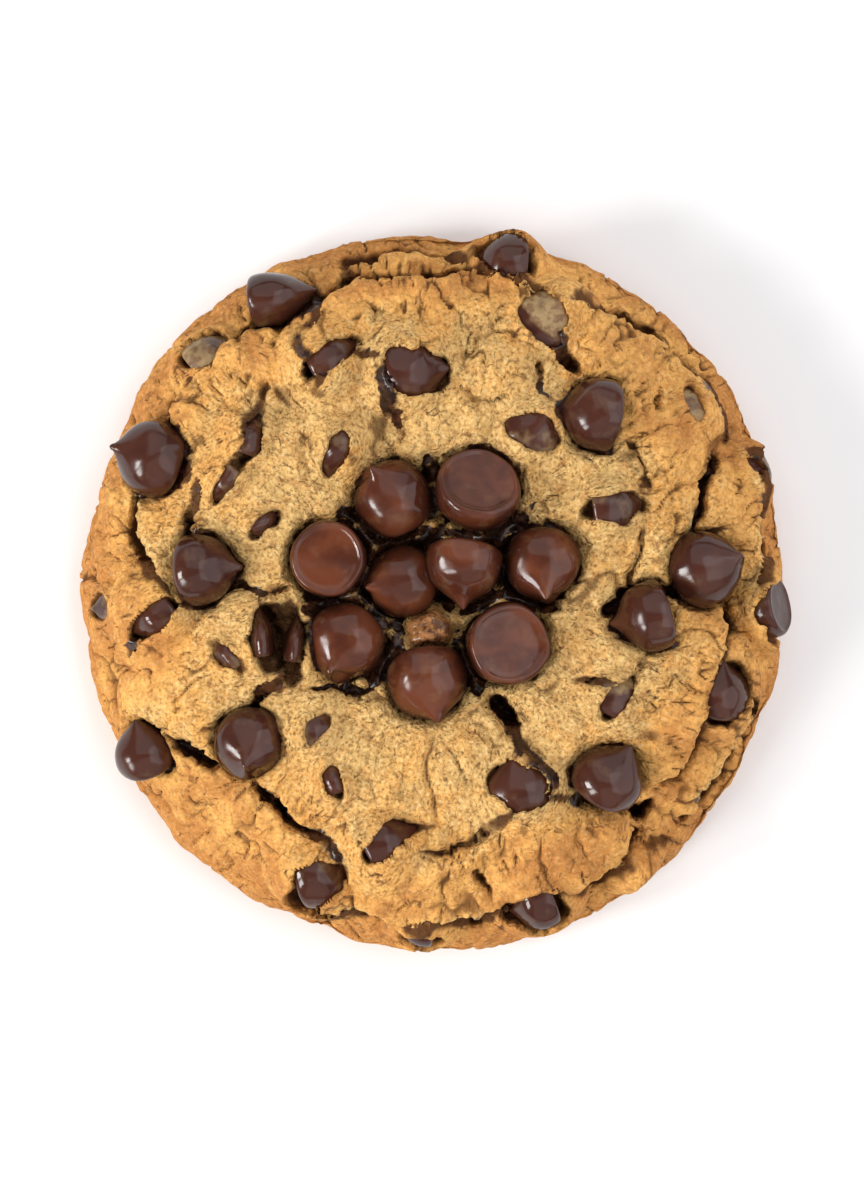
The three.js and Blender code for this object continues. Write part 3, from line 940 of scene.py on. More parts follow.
        # Painted highlight on the grains' tops, where the grain relief is high.
        grain_highlight = wires.join("MULTIPLY", wires.ramp(grit, (0.50, 0.65), (0, 0.43)), open_crumb)
        gritty = wires.mix(grain_highlight, wires.mix(pits, marked, self.fleck_and_pit_shade), self.grit)
        shade = wires.ramp(wires.painted("crevice_shade"), (0.15, 0.85), (0, 0.92))
        toasted = wires.patches(1.1, 3.0, (0.40, 0.62), (0, 0.85))
        syrup = wires.mix(toasted, self.caramel, self.thin_melt)
        sticky = wires.mix(glaze, wires.mix(shade, gritty, self.crevice_shade), syrup)
        coated, chocolate = self._melt(wires)
        wires.feed(shader, "Base Color", wires.mix(coated, sticky, chocolate))
        shiny = wires.join("MAXIMUM", coated, glaze)
        wet = wires.ramp(shiny, (0, 1), (self.roughness, self.wet_roughness))
        wires.feed(shader, "Roughness", wet)
        wires.feed(shader, "Coat Weight", wires.join("MULTIPLY", shiny, self.wet_coat))
        shader.inputs["Coat Roughness"].default_value = self.coat_roughness
        shader.inputs["Specular IOR Level"].default_value = self.specular
        lumpy = wires.bump(wires.noise(self.mottle, 3.0), self.lump_depth)
        clumped = wires.bump(clumps, self.clump_depth, lumpy)
        fine = wires.bump(wires.join("MULTIPLY", grit, open_crumb), self.grit_depth, clumped)
        grooved = wires.bump(wires.join("MULTIPLY", lines, -1.0), self.line_depth, fine)
        wires.feed(shader, "Normal", grooved)
        return material


@dataclass(frozen=True)
class ChocolateFinish(Finish):
    """Dark chocolate, softly polished, with a film of dough where a chip has been covered and painted
    shade on its flanks.
    """

    name: str = "dark chocolate"
    dark: Colour = (0.064, 0.0165, 0.0080)
    warm: Colour = (0.128, 0.0345, 0.0140)
    baked: Colour = (0.046, 0.0145, 0.0098)
    shaded: Colour = (0.020, 0.0060, 0.0035)
    smear: Colour = (0.38, 0.26, 0.115)
    roughness: float = 0.155
    specular: float = 0.36
    dullness: float = 0.4
    dent_depth: float = 0.14
    film_depth: float = 0.25

    def material(self) -> bpy.types.Material:
        """Builds the chocolate's material, which reads what is painted on a chip.

        Returns:
            The material.
        """
        material, wires, shader = self._start()
        cloud = wires.patches(5.0, 3.0, (0.35, 0.65), (0, 1), 0.4)
        base = wires.mix(wires.painted("baking"), wires.mix(cloud, self.dark, self.warm), self.baked)
        edge = wires.patches(2.4, 2.0, (0.3, 0.7), (-0.3, 0.3))
        ragged = wires.join("ADD", wires.painted("film"), edge)
        covered = wires.ramp(ragged, (0.15, 1.0), (0, 0.8))
        blotches = wires.patches(0.9, 3.0, (0.45, 0.62), (0, 0.6))
        film = wires.mix(blotches, self.smear, self.warm)
        # Painted shade on the flanks that face away from up.
        painted_flank_shade = wires.mix(wires.painted("painted_flank_shade"), base, self.shaded)
        wires.feed(shader, "Base Color", wires.mix(covered, painted_flank_shade, film))
        finest, dullest = self.roughness - 0.06, self.roughness + 0.08
        polish = wires.patches(2.2, 2.0, (0.3, 0.7), (finest, dullest))
        dull = wires.join("MULTIPLY", covered, self.dullness)
        wires.feed(shader, "Roughness", wires.join("ADD", polish, dull))
        shader.inputs["Specular IOR Level"].default_value = self.specular
        dents = wires.bump(wires.noise(2.8, 1.0), self.dent_depth)
        crumbs = wires.join("MULTIPLY", covered, wires.noise(0.7, 2.0))
        wires.feed(shader, "Normal", wires.bump(crumbs, self.film_depth, dents))
        return material


@dataclass
class Relief:
    """What is done to each of the dough's points, and what its paint is mixed from."""

    height: np.ndarray
    cut: np.ndarray
    melt: np.ndarray
    lower: np.ndarray
    shadow: np.ndarray
    torn: np.ndarray
    shift: np.ndarray

    @classmethod
    def over(cls, height: np.ndarray) -> "Relief":
        """Starts a relief from its first height.

        Args:
            height: the height at each point.

        Returns:
            The relief, with nothing cut or painted yet.
        """
        cut, melt, lower, shadow, torn = (np.zeros(len(height)) for _ in range(5))
        return cls(height, cut, melt, lower, shadow, torn, np.zeros((len(height), 2)))


@dataclass(frozen=True)
class SeamCarver:
    """Cuts the seams into the dough and lifts the plates beside them, in millimetres."""

    lattice: Lattice
    reach: float = 4.5
    span: float = 3.2
    sag: float = 0.3
    most_sag: float = 1.2
    end_fade: float = 2.5
    step_width: float = 0.4
    crease: float = 0.35
    crease_width: float = 0.9
    crack_spacing: float = 1.9
    noise_apart: float = 7.7
    ledge_step: float = 1.0
    full_ledge_step: float = 2.5
    ledge_offset: float = 0.55
    stain_width: float = 0.4
    torn_width: float = 1.6
    lip: float = 0.55
    lip_offset: float = 0.9
    lip_width: float = 1.1
    foot: float = 0.9
    foot_width: float = 1.1
    lean: float = 0.10
    lean_width: float = 1.3

    def carve(self, relief: Relief, plan: np.ndarray, crumbs: np.ndarray) -> None:
        """Cuts every seam.

        Args:
            relief: the relief, which is changed.
            plan: each point's ragged place in the plan.
            crumbs: the share of its full depth that a crack reaches at each point.
        """
        for number, seam in enumerate(SEAMS):
            near = seam.read(plan, self.span * self.reach)
            at, off = near.index, near.distance
            fade = np.exp(-off / self.reach)
            end = smoothstep(near.from_end, 0.0, self.end_fade)
            short = smoothstep(near.from_end, -0.6, 1.2)
            crisp = np.clip(near.side * off / self.step_width, -1.0, 1.0)
            crease = self.crease * min(1.0, seam.depth / 2.0)
            relief.height[at] += 0.5 * seam.step * crisp * fade * end
            relief.height[at] -= min(self.most_sag, self.sag * seam.depth) * fade**2
            relief.height[at] -= crease * np.exp(-off / self.crease_width) * short
            own = np.full(len(at), self.noise_apart * number)
            trail = np.stack([near.along, own, np.zeros(len(at))], axis=1)
            uneven = 0.85 + 0.45 * self.lattice.smooth(trail, self.crack_spacing)
            width = seam.width * uneven * (0.35 + 0.65 * end)
            ledge = abs(seam.step) > self.ledge_step
            if ledge:
                signed = near.side * off * math.copysign(1.0, seam.step)
                off = np.abs(self.ledge_offset + signed)
            opened = 1.0 - smoothstep(off, 0.10 * width, 0.5 * width + 0.36)
            cut = seam.depth * opened * short * crumbs[at]
            relief.cut[at] = np.maximum(relief.cut[at], cut)
            beside = np.maximum(near.distance - 0.28 * width, 0.0)
            stain = seam.chocolate * np.exp(-beside / self.stain_width) * short
            stain *= smoothstep(crumbs[at], 0.38, 0.62)
            relief.melt[at] = np.maximum(relief.melt[at], stain)
            torn = np.exp(-near.distance / self.torn_width) * short
            relief.torn[at] = np.maximum(relief.torn[at], torn)
            if ledge:
                self._lift(relief, seam, near, end)

    def _lift(self, relief: Relief, seam: Seam, near: SeamReading, end: np.ndarray) -> None:
        """Rounds the lip of a ledge's upper plate, and tucks the lower one under it.

        Args:
            relief: the relief, which is changed.
            seam: the ledge's seam.
            near: the seam's measures at the points near it.
            end: how far each point is from the seam's ends, from 0 to 1.
        """
        at, off = near.index, near.distance
        high = near.side * seam.step > 0
        edge = end * min(1.0, abs(seam.step) / self.full_ledge_step)
        lip = np.exp(-((off - self.lip_offset) / self.lip_width) ** 2)
        relief.height[at] += self.lip * edge * high * lip
        relief.height[at] -= self.foot * edge * ~high * np.exp(-off / self.foot_width)
        lean = self.lean * abs(seam.step) * np.exp(-off / self.lean_width) * end * high
        relief.shift[at] -= near.outward * lean[:, None]
        # Browner on the lower plate beside the ledge; paler along the upper plate's lip, a painted
        # highlight.
        relief.lower[at] = np.maximum(relief.lower[at], ~high * np.exp(-off / 2.0) * end)
        relief.lower[at] -= 1.5 * high * np.exp(-off / 0.45) * end
        relief.shadow[at] = np.maximum(relief.shadow[at], ~high * np.exp(-off / 0.9) * end)


@dataclass(frozen=True)
class CrumbRelief:
    """The crumb's own relief: lumps, knobs and grains with cracks between, in millimetres."""

    lattice: Lattice
    swell_size: float = 9.0
    lump_size: float = 5.2
    knob_size: float = 2.5
    grain_size: float = 1.2
    lump_height: float = 0.95
    knob_height: float = 0.62
    grain_height: float = 0.34
    split_size: float = 1.9
    split_count: float = 33.0
    crack_depth: float = 0.55
    inner_radius: float = 18.0
    draw_in: float = 0.55

    def read(self, points: np.ndarray) -> tuple[np.ndarray, np.ndarray]:
        """Works out the relief at points of the dough.

        Args:
            points: the dough's points.

        Returns:
            The height of the lumps and grains, and how dark the cracks between them are.
        """
        noise = self.lattice
        warped = self.outward_place(points) + noise.drift(points, (0.8, 2.6))
        lumps = np.abs(noise.smooth(warped, self.lump_size))
        knobs = np.abs(noise.smooth(warped + 40.0, self.knob_size))
        grains = np.abs(noise.smooth(warped + 80.0, self.grain_size))
        radial = np.linalg.norm(points[:, :2], axis=1)
        rough = 1.0 - 0.45 * smoothstep(radial, 27.0, 39.0)
        height = 0.45 * noise.smooth(points, self.swell_size) + self.lump_height * lumps - 0.25
        height += rough * (self.knob_height * knobs + self.grain_height * grains - 0.25)
        cracked = smoothstep(noise.smooth(points + 9.0, 7.0), -0.25, 0.35)
        crack = 0.8 * (1.0 - smoothstep(lumps, 0.0, 0.09)) * cracked
        fine = smoothstep(noise.smooth(points + 23.0, 3.4), 0.0, 0.45)
        crack = np.maximum(crack, 0.7 * (1.0 - smoothstep(knobs, 0.0, 0.12)) * fine)
        crack = np.maximum(crack, 0.95 * self._splits(points, radial))
        return height - self.crack_depth * crack, crack

    def _splits(self, points: np.ndarray, radial: np.ndarray) -> np.ndarray:
        """Draws the short splits that run outward in the crust.

        Args:
            points: the dough's points.
            radial: how far each one is from the middle.

        Returns:
            1 in the splits and 0 beside them.
        """
        way = points[:, :2] / np.maximum(radial, 1e-6)[:, None]
        combed = np.hstack([self.split_count * way, 0.34 * radial[:, None]])
        combed += self.lattice.drift(points, (0.45, 2.2))
        split = 1.0 - smoothstep(np.abs(self.lattice.smooth(combed, self.split_size)), 0.0, 0.13)
        patchy = smoothstep(self.lattice.smooth(points + 61.0, 3.6), -0.06, 0.22)
        return split * (patchy * smoothstep(radial, 25.0, 29.0))

    def outward_place(self, points: np.ndarray) -> np.ndarray:
        """Stretches space outward beyond the middle, so that cracks there run towards the rim.

        Args:
            points: the dough's points.

        Returns:
            Their places in the stretched space.
        """
        radial = np.linalg.norm(points[:, :2], axis=1, keepdims=True)
        beyond = np.maximum(radial - self.inner_radius, 0.0)
        drawn_in = 1.0 - self.draw_in * beyond / np.maximum(radial, self.inner_radius)
        return np.hstack([1.12 * drawn_in * points[:, :2], points[:, 2:]])


@dataclass
class Dough:
    """The baked dough: a fine mesh over the whole cookie, sculpted and painted."""

    form: CookieForm
    chips: list[ChipPose]
    pieces: list[bpy.types.Object]
    finish: CrumbFinish = field(default_factory=CrumbFinish)
    lattice: Lattice = field(default_factory=lambda: Lattice(11))
    grid: int = 300
    base_rings: tuple[float, ...] = (1.03, 1.06, 1.15, 1.4)
    base_share: float = 0.9995
    pit_margin: float = 1.6
    pit_depth: float = 1.5
    pool_depth: float = 1.1
    pool_stain_and_shade: float = 0.76
    chip_stain: float = 0.9
    chip_stain_width: float = 0.55
    rim_radius: float = 34.0
    lid: float = 0.85
    lid_slope: float = 1.1
    chip_clearance: float = 0.35
    deepest_floor: float = -5.0
    ray_length: float = 60.0
    caramel: tuple[float, float] = (-0.3, -4.6)
    caramel_stretch: float = 1.35
    caramel_height: float = 1.5
    middle_browning: float = 0.10
    rim_browning: float = 0.62
    side_browning: float = 0.30
    ridge_browning: float = 0.26
    ledge_browning_and_lip_highlight: float = 0.30
    cloud_browning: float = 0.34
    patch_browning: float = 0.16

    def build(self) -> bpy.types.Object:
        """Makes, sculpts and paints the dough.

        Returns:
            The dough's object, in place.
        """
        mesh = self._sheet()
        share, angle = self._wrap(read_points(mesh)[:, :2])
        points, normals = self.form.surface(np.minimum(share, 1.0), angle)
        inset = np.where(share > 1.0, 1.0 - (share - 1.0), 1.0)
        points[:, :2] *= inset[:, None]
        crumb = CrumbRelief(self.lattice)
        places, paint = self._sculpt(mesh, points, normals, crumb)
        upright = smoothstep(normals[:, 2:], 0.35, 0.75)
        ways = normals + upright * (np.array([0.0, 0.0, 1.0]) - normals)
        ways /= np.linalg.norm(ways, axis=1, keepdims=True)
        for chip, piece in zip(self.chips, self.pieces):
            if chip.name in OPENINGS:
                self._open(places, ways, paint, chip, piece)
        base = share > self.base_share
        places[base, 2] = 0.0
        places[base, :2] = points[base, :2]
        move_points(mesh, places)
        for name, values in paint.items():
            paint_points(mesh, name, values)
        stretched = (crumb.outward_place(places) * MM).astype(np.float32)
        layer = mesh.attributes.new("outward_place", "FLOAT_VECTOR", "POINT")
        layer.data.foreach_set("vector", stretched.ravel())
        mesh.shade_smooth()
        mesh.materials.append(self.finish.material())
        return to_scene("baked_dough", mesh)

    def _sheet(self) -> bpy.types.Mesh:
        """Makes the flat sheet that is wrapped over the cookie, closed under it by inset rings.

        Returns:
            The sheet's mesh, its own edge at 1.
        """
        shape = bmesh.new()
        bmesh.ops.create_grid(shape, x_segments=self.grid, y_segments=self.grid, size=1.0)
        rim = [edge for edge in shape.edges if edge.is_boundary]
        for step in self.base_rings:
            grown = bmesh.ops.extrude_edge_only(shape, edges=rim)["geom"]
            ring = [item for item in grown if isinstance(item, bmesh.types.BMVert)]
            rim = [item for item in grown if isinstance(item, bmesh.types.BMEdge)]
            rim = [edge for edge in rim if edge.is_boundary]
            size = max(abs(ring[0].co.x), abs(ring[0].co.y))
            bmesh.ops.scale(shape, vec=(step / size, step / size, 1.0), verts=ring)
        bmesh.ops.contextual_create(shape, geom=rim)
        bmesh.ops.recalc_face_normals(shape, faces=shape.faces)
        return to_mesh(shape, "baked_dough")

    @staticmethod
    def _wrap(sheet: np.ndarray) -> tuple[np.ndarray, np.ndarray]:
        """Turns square rings of the flat sheet into round ones.

        Args:
            sheet: the sheet's points, its own edge at 1.

        Returns:
            Each point's share of the way from the middle, and its angle.
        """
        u, v = sheet[:, 0], sheet[:, 1]
        share = np.maximum(np.abs(u), np.abs(v))
        across = np.abs(u) >= np.abs(v)
        safe = np.where(across, np.where(u == 0, 1.0, u), np.where(v == 0, 1.0, v))
        ratio = np.where(across, v, -u) / safe
        sideways = np.where(u > 0, 0.0, math.pi)
        endways = np.where(v > 0, math.pi / 2, -math.pi / 2)
        return share, np.where(across, sideways, endways) + math.pi / 4 * ratio

    @staticmethod
    def _facing(mesh: bpy.types.Mesh, places: np.ndarray) -> np.ndarray:
        """Finds which way the mesh faces at its points once they have been moved."""
        move_points(mesh, places)
        return read_points(mesh, "normal")

    def _sculpt(
        self, mesh: bpy.types.Mesh, points: np.ndarray, normals: np.ndarray, crumb: CrumbRelief
    ) -> tuple[np.ndarray, dict[str, np.ndarray]]:
        """Moves the smooth surface's points to the real, craggy one.

        Args:
            mesh: the dough's mesh.
            points: the smooth surface's points.
            normals: its normals.
            crumb: the crumb's own relief.

        Returns:
            The moved points, and the numbers to paint on them by name.
        """
        plan = points[:, :2] + self.lattice.drift(points, (0.75, 3.2), (0.42, 1.2))[:, :2]
        x, y = points[:, 0], points[:, 1]
        swell = 0.35 * np.sin(0.42 * x + 1.3) * np.cos(0.37 * y - 0.6)
        relief = Relief.over(swell + 0.2 * np.sin(0.83 * x - 0.51 * y))
        crumbs = 0.75 + 0.55 * self.lattice.smooth(points + 70.0, 1.6)
        SeamCarver(self.lattice).carve(relief, plan, crumbs)
        aside = (plan - np.array(self.caramel)) / np.array([self.caramel_stretch, 1.0])
        off = np.hypot(aside[:, 0], aside[:, 1])
        relief.height += self.caramel_height * (1.0 - smoothstep(off, 1.2, 2.6))
        glaze = 1.0 - smoothstep(off, 1.9, 3.0)
        pit, hug, stain = self._beside_chips(points)
        relief.height -= pit + hug
        melt = np.maximum(relief.melt, stain) * (1.0 - 0.75 * glaze)
        keep = smoothstep(points[:, 2], 0.0, self.form.base_fade)
        upward = np.where(normals[:, 2:] > 0.25, 1.0, 0.0) * np.array([0.0, 0.0, 1.0])
        rise, dig = 0.5 * normals + 0.5 * upward, 0.25 * normals + 0.75 * upward
        moved = points + rise * (relief.height * keep)[:, None] - dig * (relief.cut * keep)[:, None]
        moved[:, :2] += relief.shift * keep[:, None]
        lumps, crack = crumb.read(moved)
        way = 0.5 * normals + 0.5 * self._facing(mesh, moved)
        moved += way * (lumps * (0.35 + 0.65 * keep))[:, None]
        moved[:, 2] = np.maximum(moved[:, 2], 0.05)
        # Painted shade, deepest in the cuts, and also round hugged chips, under ledges and in the
        # crumb's cracks.
        crevice_shade = relief.cut / 2.6 + 0.6 * hug + 0.6 * relief.shadow + 0.8 * crack
        return moved, {
            "browning_and_lip_highlight": self._browning_and_lip_highlight(points, relief),
            "crevice_shade": np.clip(crevice_shade, 0.0, 1.0) * keep,
            "melt": melt * keep,
            "glaze": glaze,
        }

    def _browning_and_lip_highlight(self, points: np.ndarray, relief: Relief) -> np.ndarray:
        """Works out how brown the crust is baked, with a painted highlight as a paler line along each
        ledge's lip.

        Args:
            points: the smooth surface's points.
            relief: what has been done to them.

        Returns:
            The browning at each point, from 0 up.
        """
        radial = np.linalg.norm(points[:, :2], axis=1)
        rim, low = smoothstep(radial, 21.0, 38.0), 1 - smoothstep(points[:, 2], 4.0, 12.0)
        browning_and_lip_highlight = self.middle_browning + self.rim_browning * rim + self.side_browning * low
        browning_and_lip_highlight += self.ridge_browning * smoothstep(relief.height, -0.2, 1.3)
        # Browner beside a ledge's foot, paler at torn seams, and paler along a ledge's lip as a
        # painted highlight.
        browning_and_lip_highlight += self.ledge_browning_and_lip_highlight * relief.lower - self.ledge_browning_and_lip_highlight * relief.torn
        browning_and_lip_highlight += self.cloud_browning * self.lattice.smooth(points + 5.0, 12.0)
        browning_and_lip_highlight += self.patch_browning * self.lattice.smooth(points + 15.0, 5.0)
        return np.clip(browning_and_lip_highlight, 0.0, 1.3)

    def _smudge(self, outside: np.ndarray) -> np.ndarray:
        """Gives how much chocolate has melted onto the dough at distances from a chip."""
        return self.chip_stain * np.exp(-outside / self.chip_stain_width)

    def _beside_chips(self, points: np.ndarray) -> tuple[np.ndarray, np.ndarray, np.ndarray]:
        """Works out how the dough gives way round the chips.

        Args:
            points: the smooth surface's points.

        Returns:
            How deep the pit is, how closely a chip is hugged, and how much chocolate has melted
            onto the dough, at each point; between the middle chips that chocolate is partly painted
            shade.
        """
        pit, hug, stain = (np.zeros(len(points)) for _ in range(3))
        nearest, second = (np.full(len(points), 9.0) for _ in range(2))
        for chip in self.chips:
            spot = np.array(chip.bulk)
            ground, up = self.form.above(spot[None, :2])
            rise = float((spot - ground[0]) @ up[0])
            deep = self.pit_depth * float(smoothstep(np.array(rise), -2.2, -0.2))
            away = np.linalg.norm(points[:, :2] - spot[:2], axis=1) - chip.radius
            if float(np.hypot(*spot[:2])) <= self.rim_radius:
                inside = 1 - smoothstep(away, -self.pit_margin, self.pit_margin)
                pit = np.maximum(pit, deep * inside)
            if chip.name in OPENINGS:
                continue
            near = np.flatnonzero(away < 4.0)
            outside = chip.outside(points[near])
            hug[near] = np.maximum(hug[near], 1.0 - smoothstep(outside, 0.1, 1.3))
            stain[near] = np.maximum(stain[near], self._smudge(outside))
            if chip.central:
                second[near] = np.minimum(second[near], np.maximum(nearest[near], outside))
                nearest[near] = np.minimum(nearest[near], outside)
        # Between two middle chips the dough sinks and is painted as melted chocolate, partly real and
        # partly painted shade between the chips.
        pool = 1.0 - smoothstep(second, 2.2, 3.3)
        return pit + self.pool_depth * pool, hug, np.maximum(stain, self.pool_stain_and_shade * pool)

    def _open(
        self,
        places: np.ndarray,
        ways: np.ndarray,
        paint: dict[str, np.ndarray],
        chip: ChipPose,
        piece: bpy.types.Object,
    ) -> None:
        """Lays the crust over a chip, and opens it where the chip shows.

        Args:
            places: the dough's points, which are moved.
            ways: which way each point moves when the crust rises there.
            paint: the numbers painted on them, which are changed near the opening.
            chip: the chip's pose.
            piece: the chip itself.
        """
        toward = np.array(chip.bulk) - places
        rise = np.einsum("ij,ij->i", toward, ways)
        aside = np.linalg.norm(toward - rise[:, None] * ways, axis=1)
        beside = (aside < 0.7 * chip.height + 2.5) & (np.abs(rise) < 10.0)
        near = np.flatnonzero(beside & (places[:, 2] > 0.8))
        here, way = places[near], ways[near]
        lid = self.lid * (0.45 + 0.55 * smoothstep(way[:, 2], 0.5, 0.95))
        mound, roof = self._over(piece, here, way)
        over = np.maximum(np.maximum(mound + lid, roof + 0.7 * lid), 0.0)
        floor = np.where(roof > -self.ray_length, np.clip(roof, self.deepest_floor, 0.0), 0.0)
        under = floor - self.chip_clearance
        plan = here[:, :2] + self.lattice.drift(here, (0.75, 3.1), (0.40, 1.3))[:, :2]
        gaps = OPENINGS[chip.name]
        level = float(self.form.above(np.array([gap.at for gap in gaps]))[0][:, 2].min())
        steep = 1.0 - smoothstep(way[:, 2], 0.6, 0.95)
        below = np.maximum(level - 2.0 - here[:, 2], 0.0) * steep
        beyond = np.min([gap.beyond(plan) for gap in gaps], axis=0) + below
        shut = smoothstep(beyond, -0.1, 0.45)
        places[near] += (under + shut * (over - under))[:, None] * way
        # Painted shade on the dough that shows in the opening round the chip.
        paint["crevice_shade"][near] = np.maximum(paint["crevice_shade"][near] * shut, 0.9 * (1.0 - shut))
        paint["melt"][near] *= shut

    def _over(
        self, piece: bpy.types.Object, here: np.ndarray, way: np.ndarray
    ) -> tuple[np.ndarray, np.ndarray]:
        """Measures how far points have to move to come to lie on a chip.

        Args:
            piece: the chip.
            here: the points.
            way: which way each one moves.

        Returns:
            The move to a mound laid over the chip, and the move to the chip itself, which is
            the ray length below 0 where the way misses it.
        """
        shape = read_points(piece.data)
        sparse = shape[::3] / MM
        toward = sparse[None, :, :] - here[:, None, :]
        rise = np.einsum("ijk,ik->ij", toward, way)
        aside = np.sqrt(np.maximum(np.einsum("ijk,ijk->ij", toward, toward) - rise**2, 0.0))
        mound = (rise - self.lid_slope * aside).max(axis=1)
        faces = [tuple(face.vertices) for face in piece.data.polygons]
        tree = BVHTree.FromPolygons((shape / MM).tolist(), faces)
        far = self.ray_length
        reads = (tree.ray_cast(start, aim)[3] for start, aim in zip(here + far * way, -way))
        return mound, np.array([-far if read is None else far - read for read in reads])


@dataclass
class Chip:
    """One chocolate chip, spun from its half section and softened by the oven."""

    pose: ChipPose
    number: int
    steps: int = 48
    curl: float = 0.16
    curl_start: float = 0.45
    curl_power: float = 1.6
    keel: float = 0.11
    keel_width: float = 0.26
    hollow: float = 0.8
    hollow_turn: float = 0.55
    hollow_width: float = 0.34
    softness: float = 0.30
    dent_size: float = 3.4
    flank_shade: float = 0.8
    baking: float = 0.75
    lattice: Lattice = field(default_factory=lambda: Lattice(23))

    @staticmethod
    def _section() -> tuple[tuple[float, float], ...]:
        """Gives the half section from base to tip.

        Returns:
            Its points, as shares of the radius and height.
        """
        face = ((0.0, 0.022), (0.5, 0.022), (0.78, 0.018), (0.85, -0.004), (0.905, -0.008))
        swell = ((0.965, 0.03), (0.995, 0.10), (1.0, 0.19), (0.985, 0.29), (0.945, 0.39))
        point = ((0.875, 0.49), (0.77, 0.585), (0.63, 0.67), (0.475, 0.745), (0.33, 0.81))
        nub = ((0.205, 0.87), (0.115, 0.93), (0.06, 0.975), (0.0, 1.0))
        return face + swell + point + nub

    def _spin(self) -> bpy.types.Mesh:
        """Spins the section into a chip that stands on its base, in millimetres.

        Returns:
            The chip's mesh.
        """
        pose = self.pose
        shape = bmesh.new()
        curve = spline(self._section(), 2)
        line = [shape.verts.new((r * pose.radius, 0.0, z * pose.height)) for r, z in curve]
        edges = [shape.edges.new(pair) for pair in zip(line, line[1:])]
        bmesh.ops.spin(
            shape, geom=line + edges, cent=(0, 0, 0), axis=(0, 0, 1), angle=math.tau,
            steps=self.steps, use_merge=True,
        )
        bmesh.ops.remove_doubles(shape, verts=shape.verts, dist=0.004)
        bmesh.ops.recalc_face_normals(shape, faces=shape.faces)
        return to_mesh(shape, "melted_" + pose.name)

    def build(self, material: bpy.types.Material) -> bpy.types.Object:
        """Makes the chip where the frame's chip lies.

        Args:
            material: the chocolate.

        Returns:
            The chip's object.
        """
        pose, mesh = self.pose, self._spin()
        turn = np.array(pose.matrix.to_3x3())
        world = self._soften(read_points(mesh)) @ turn.T + np.array(pose.base)
        move_points(mesh, world)
        mesh.shade_smooth()
        # Painted shade: the flanks that face away from up are painted darker, the more so the steeper
        # they are.
        upward = smoothstep(read_points(mesh, "normal")[:, 2], 0.15, 0.85)
        paint_points(mesh, "film", self._film(world))
        paint_points(mesh, "painted_flank_shade", self.flank_shade * (1.0 - upward))
        paint_points(mesh, "baking", np.full(len(world), 0.0 if pose.central else self.baking))
        mesh.materials.append(material)
        return to_scene("melted_" + pose.name, mesh)

    def _soften(self, places: np.ndarray) -> np.ndarray:
        """Bends the tip over, raises the keel below it and dents the flanks.

        Args:
            places: the spun chip's points.

        Returns:
            The softened chip's points.
        """
        pose, start, power = self.pose, self.curl_start, self.curl_power
        heading = np.random.default_rng(100 + self.number).uniform(-0.5, 0.5)
        along = np.clip(places[:, 2] / pose.height, 0.0, 1.0)
        bend = self.curl * pose.height * np.maximum(along - start, 0.0) ** power
        bend = bend / (1.0 - start) ** power
        around = np.arctan2(places[:, 1], places[:, 0]) - heading
        lobe = np.exp(-((self._turned(around, 0.0) / self.keel_width) ** 2))
        beside = self._turned(around, self.hollow_turn) / self.hollow_width
        lobe -= self.hollow * np.exp(-(beside**2))
        reach = smoothstep(along, 0.22, 0.62) * (1.0 - smoothstep(along, 0.86, 1.0))
        girth = np.maximum(np.linalg.norm(places[:, :2], axis=1, keepdims=True), 1e-6)
        out = places.copy()
        out[:, :2] += self.keel * pose.radius * (lobe * reach)[:, None] * places[:, :2] / girth
        out[:, 0] += bend * math.cos(heading)
        out[:, 1] += bend * math.sin(heading)
        out[:, 2] -= 0.35 * bend
        dents = self.lattice.smooth(places + 40.0 * self.number, self.dent_size)
        out[:, :2] += self.softness * dents[:, None] * places[:, :2] / girth * (girth > 0.5)
        out[:, 1] *= pose.slimness
        return out

    @staticmethod
    def _turned(around: np.ndarray, turn: float) -> np.ndarray:
        """Gives the angle from one turn round the chip's axis, from minus to plus half a circle."""
        return np.mod(around - turn + math.pi, math.tau) - math.pi

    def _film(self, world: np.ndarray) -> np.ndarray:
        """Works out the film of dough that clings to a chip in an opening.

        Args:
            world: the chip's points in place.

        Returns:
            How thick the film is at each point.
        """
        film = np.zeros(len(world))
        for gap in OPENINGS.get(self.pose.name, ()):
            beyond = gap.beyond(world[:, :2])
            thick = 1.25 - 0.5 * (1.0 - smoothstep(beyond, -0.5 * gap.width, 0.6))
            film = np.maximum(film, gap.film * thick * (1.0 - smoothstep(beyond, 0.8, 1.8)))
        return film


@dataclass(frozen=True)
class Lamp:
    """A soft square light that faces the cookie.

    azimuth is the direction that it comes from, in degrees anticlockwise from +X, and elevation is
    how many degrees it hangs above the floor. Its side is in millimetres and its power in watts.
    """

    name: str
    azimuth: float
    elevation: float
    side: float
    power: float
    colour: Colour
    distance: float = 1500.0

    def build(self) -> None:
        """Hangs the light."""
        data = bpy.data.lights.new(self.name, "AREA")
        data.size = self.side * MM
        data.energy = self.power
        data.color = self.colour
        lamp = to_scene(self.name, data)
        turn, lift = math.radians(self.azimuth), math.radians(self.elevation)
        flat = math.cos(lift)
        way = Vector((flat * math.cos(turn), flat * math.sin(turn), math.sin(lift)))
        lamp.location = self.distance * MM * way
        lamp.rotation_euler = (-way).to_track_quat("-Z", "Y").to_euler()


LAMPS = (
    Lamp("window", 192, 28, 430, 14.2, (1.0, 0.985, 0.965)),
    Lamp("second window", 217, 30, 430, 10.0, (1.0, 0.985, 0.965)),
    Lamp("near wall", 290, 44, 2100, 8.0, (1.0, 0.98, 0.95)),
    Lamp("far wall", 90, 44, 2100, 12.6, (0.97, 0.98, 1.0)),
    Lamp("right wall", 5, 40, 2000, 18.4, (0.98, 0.96, 1.0)),
)


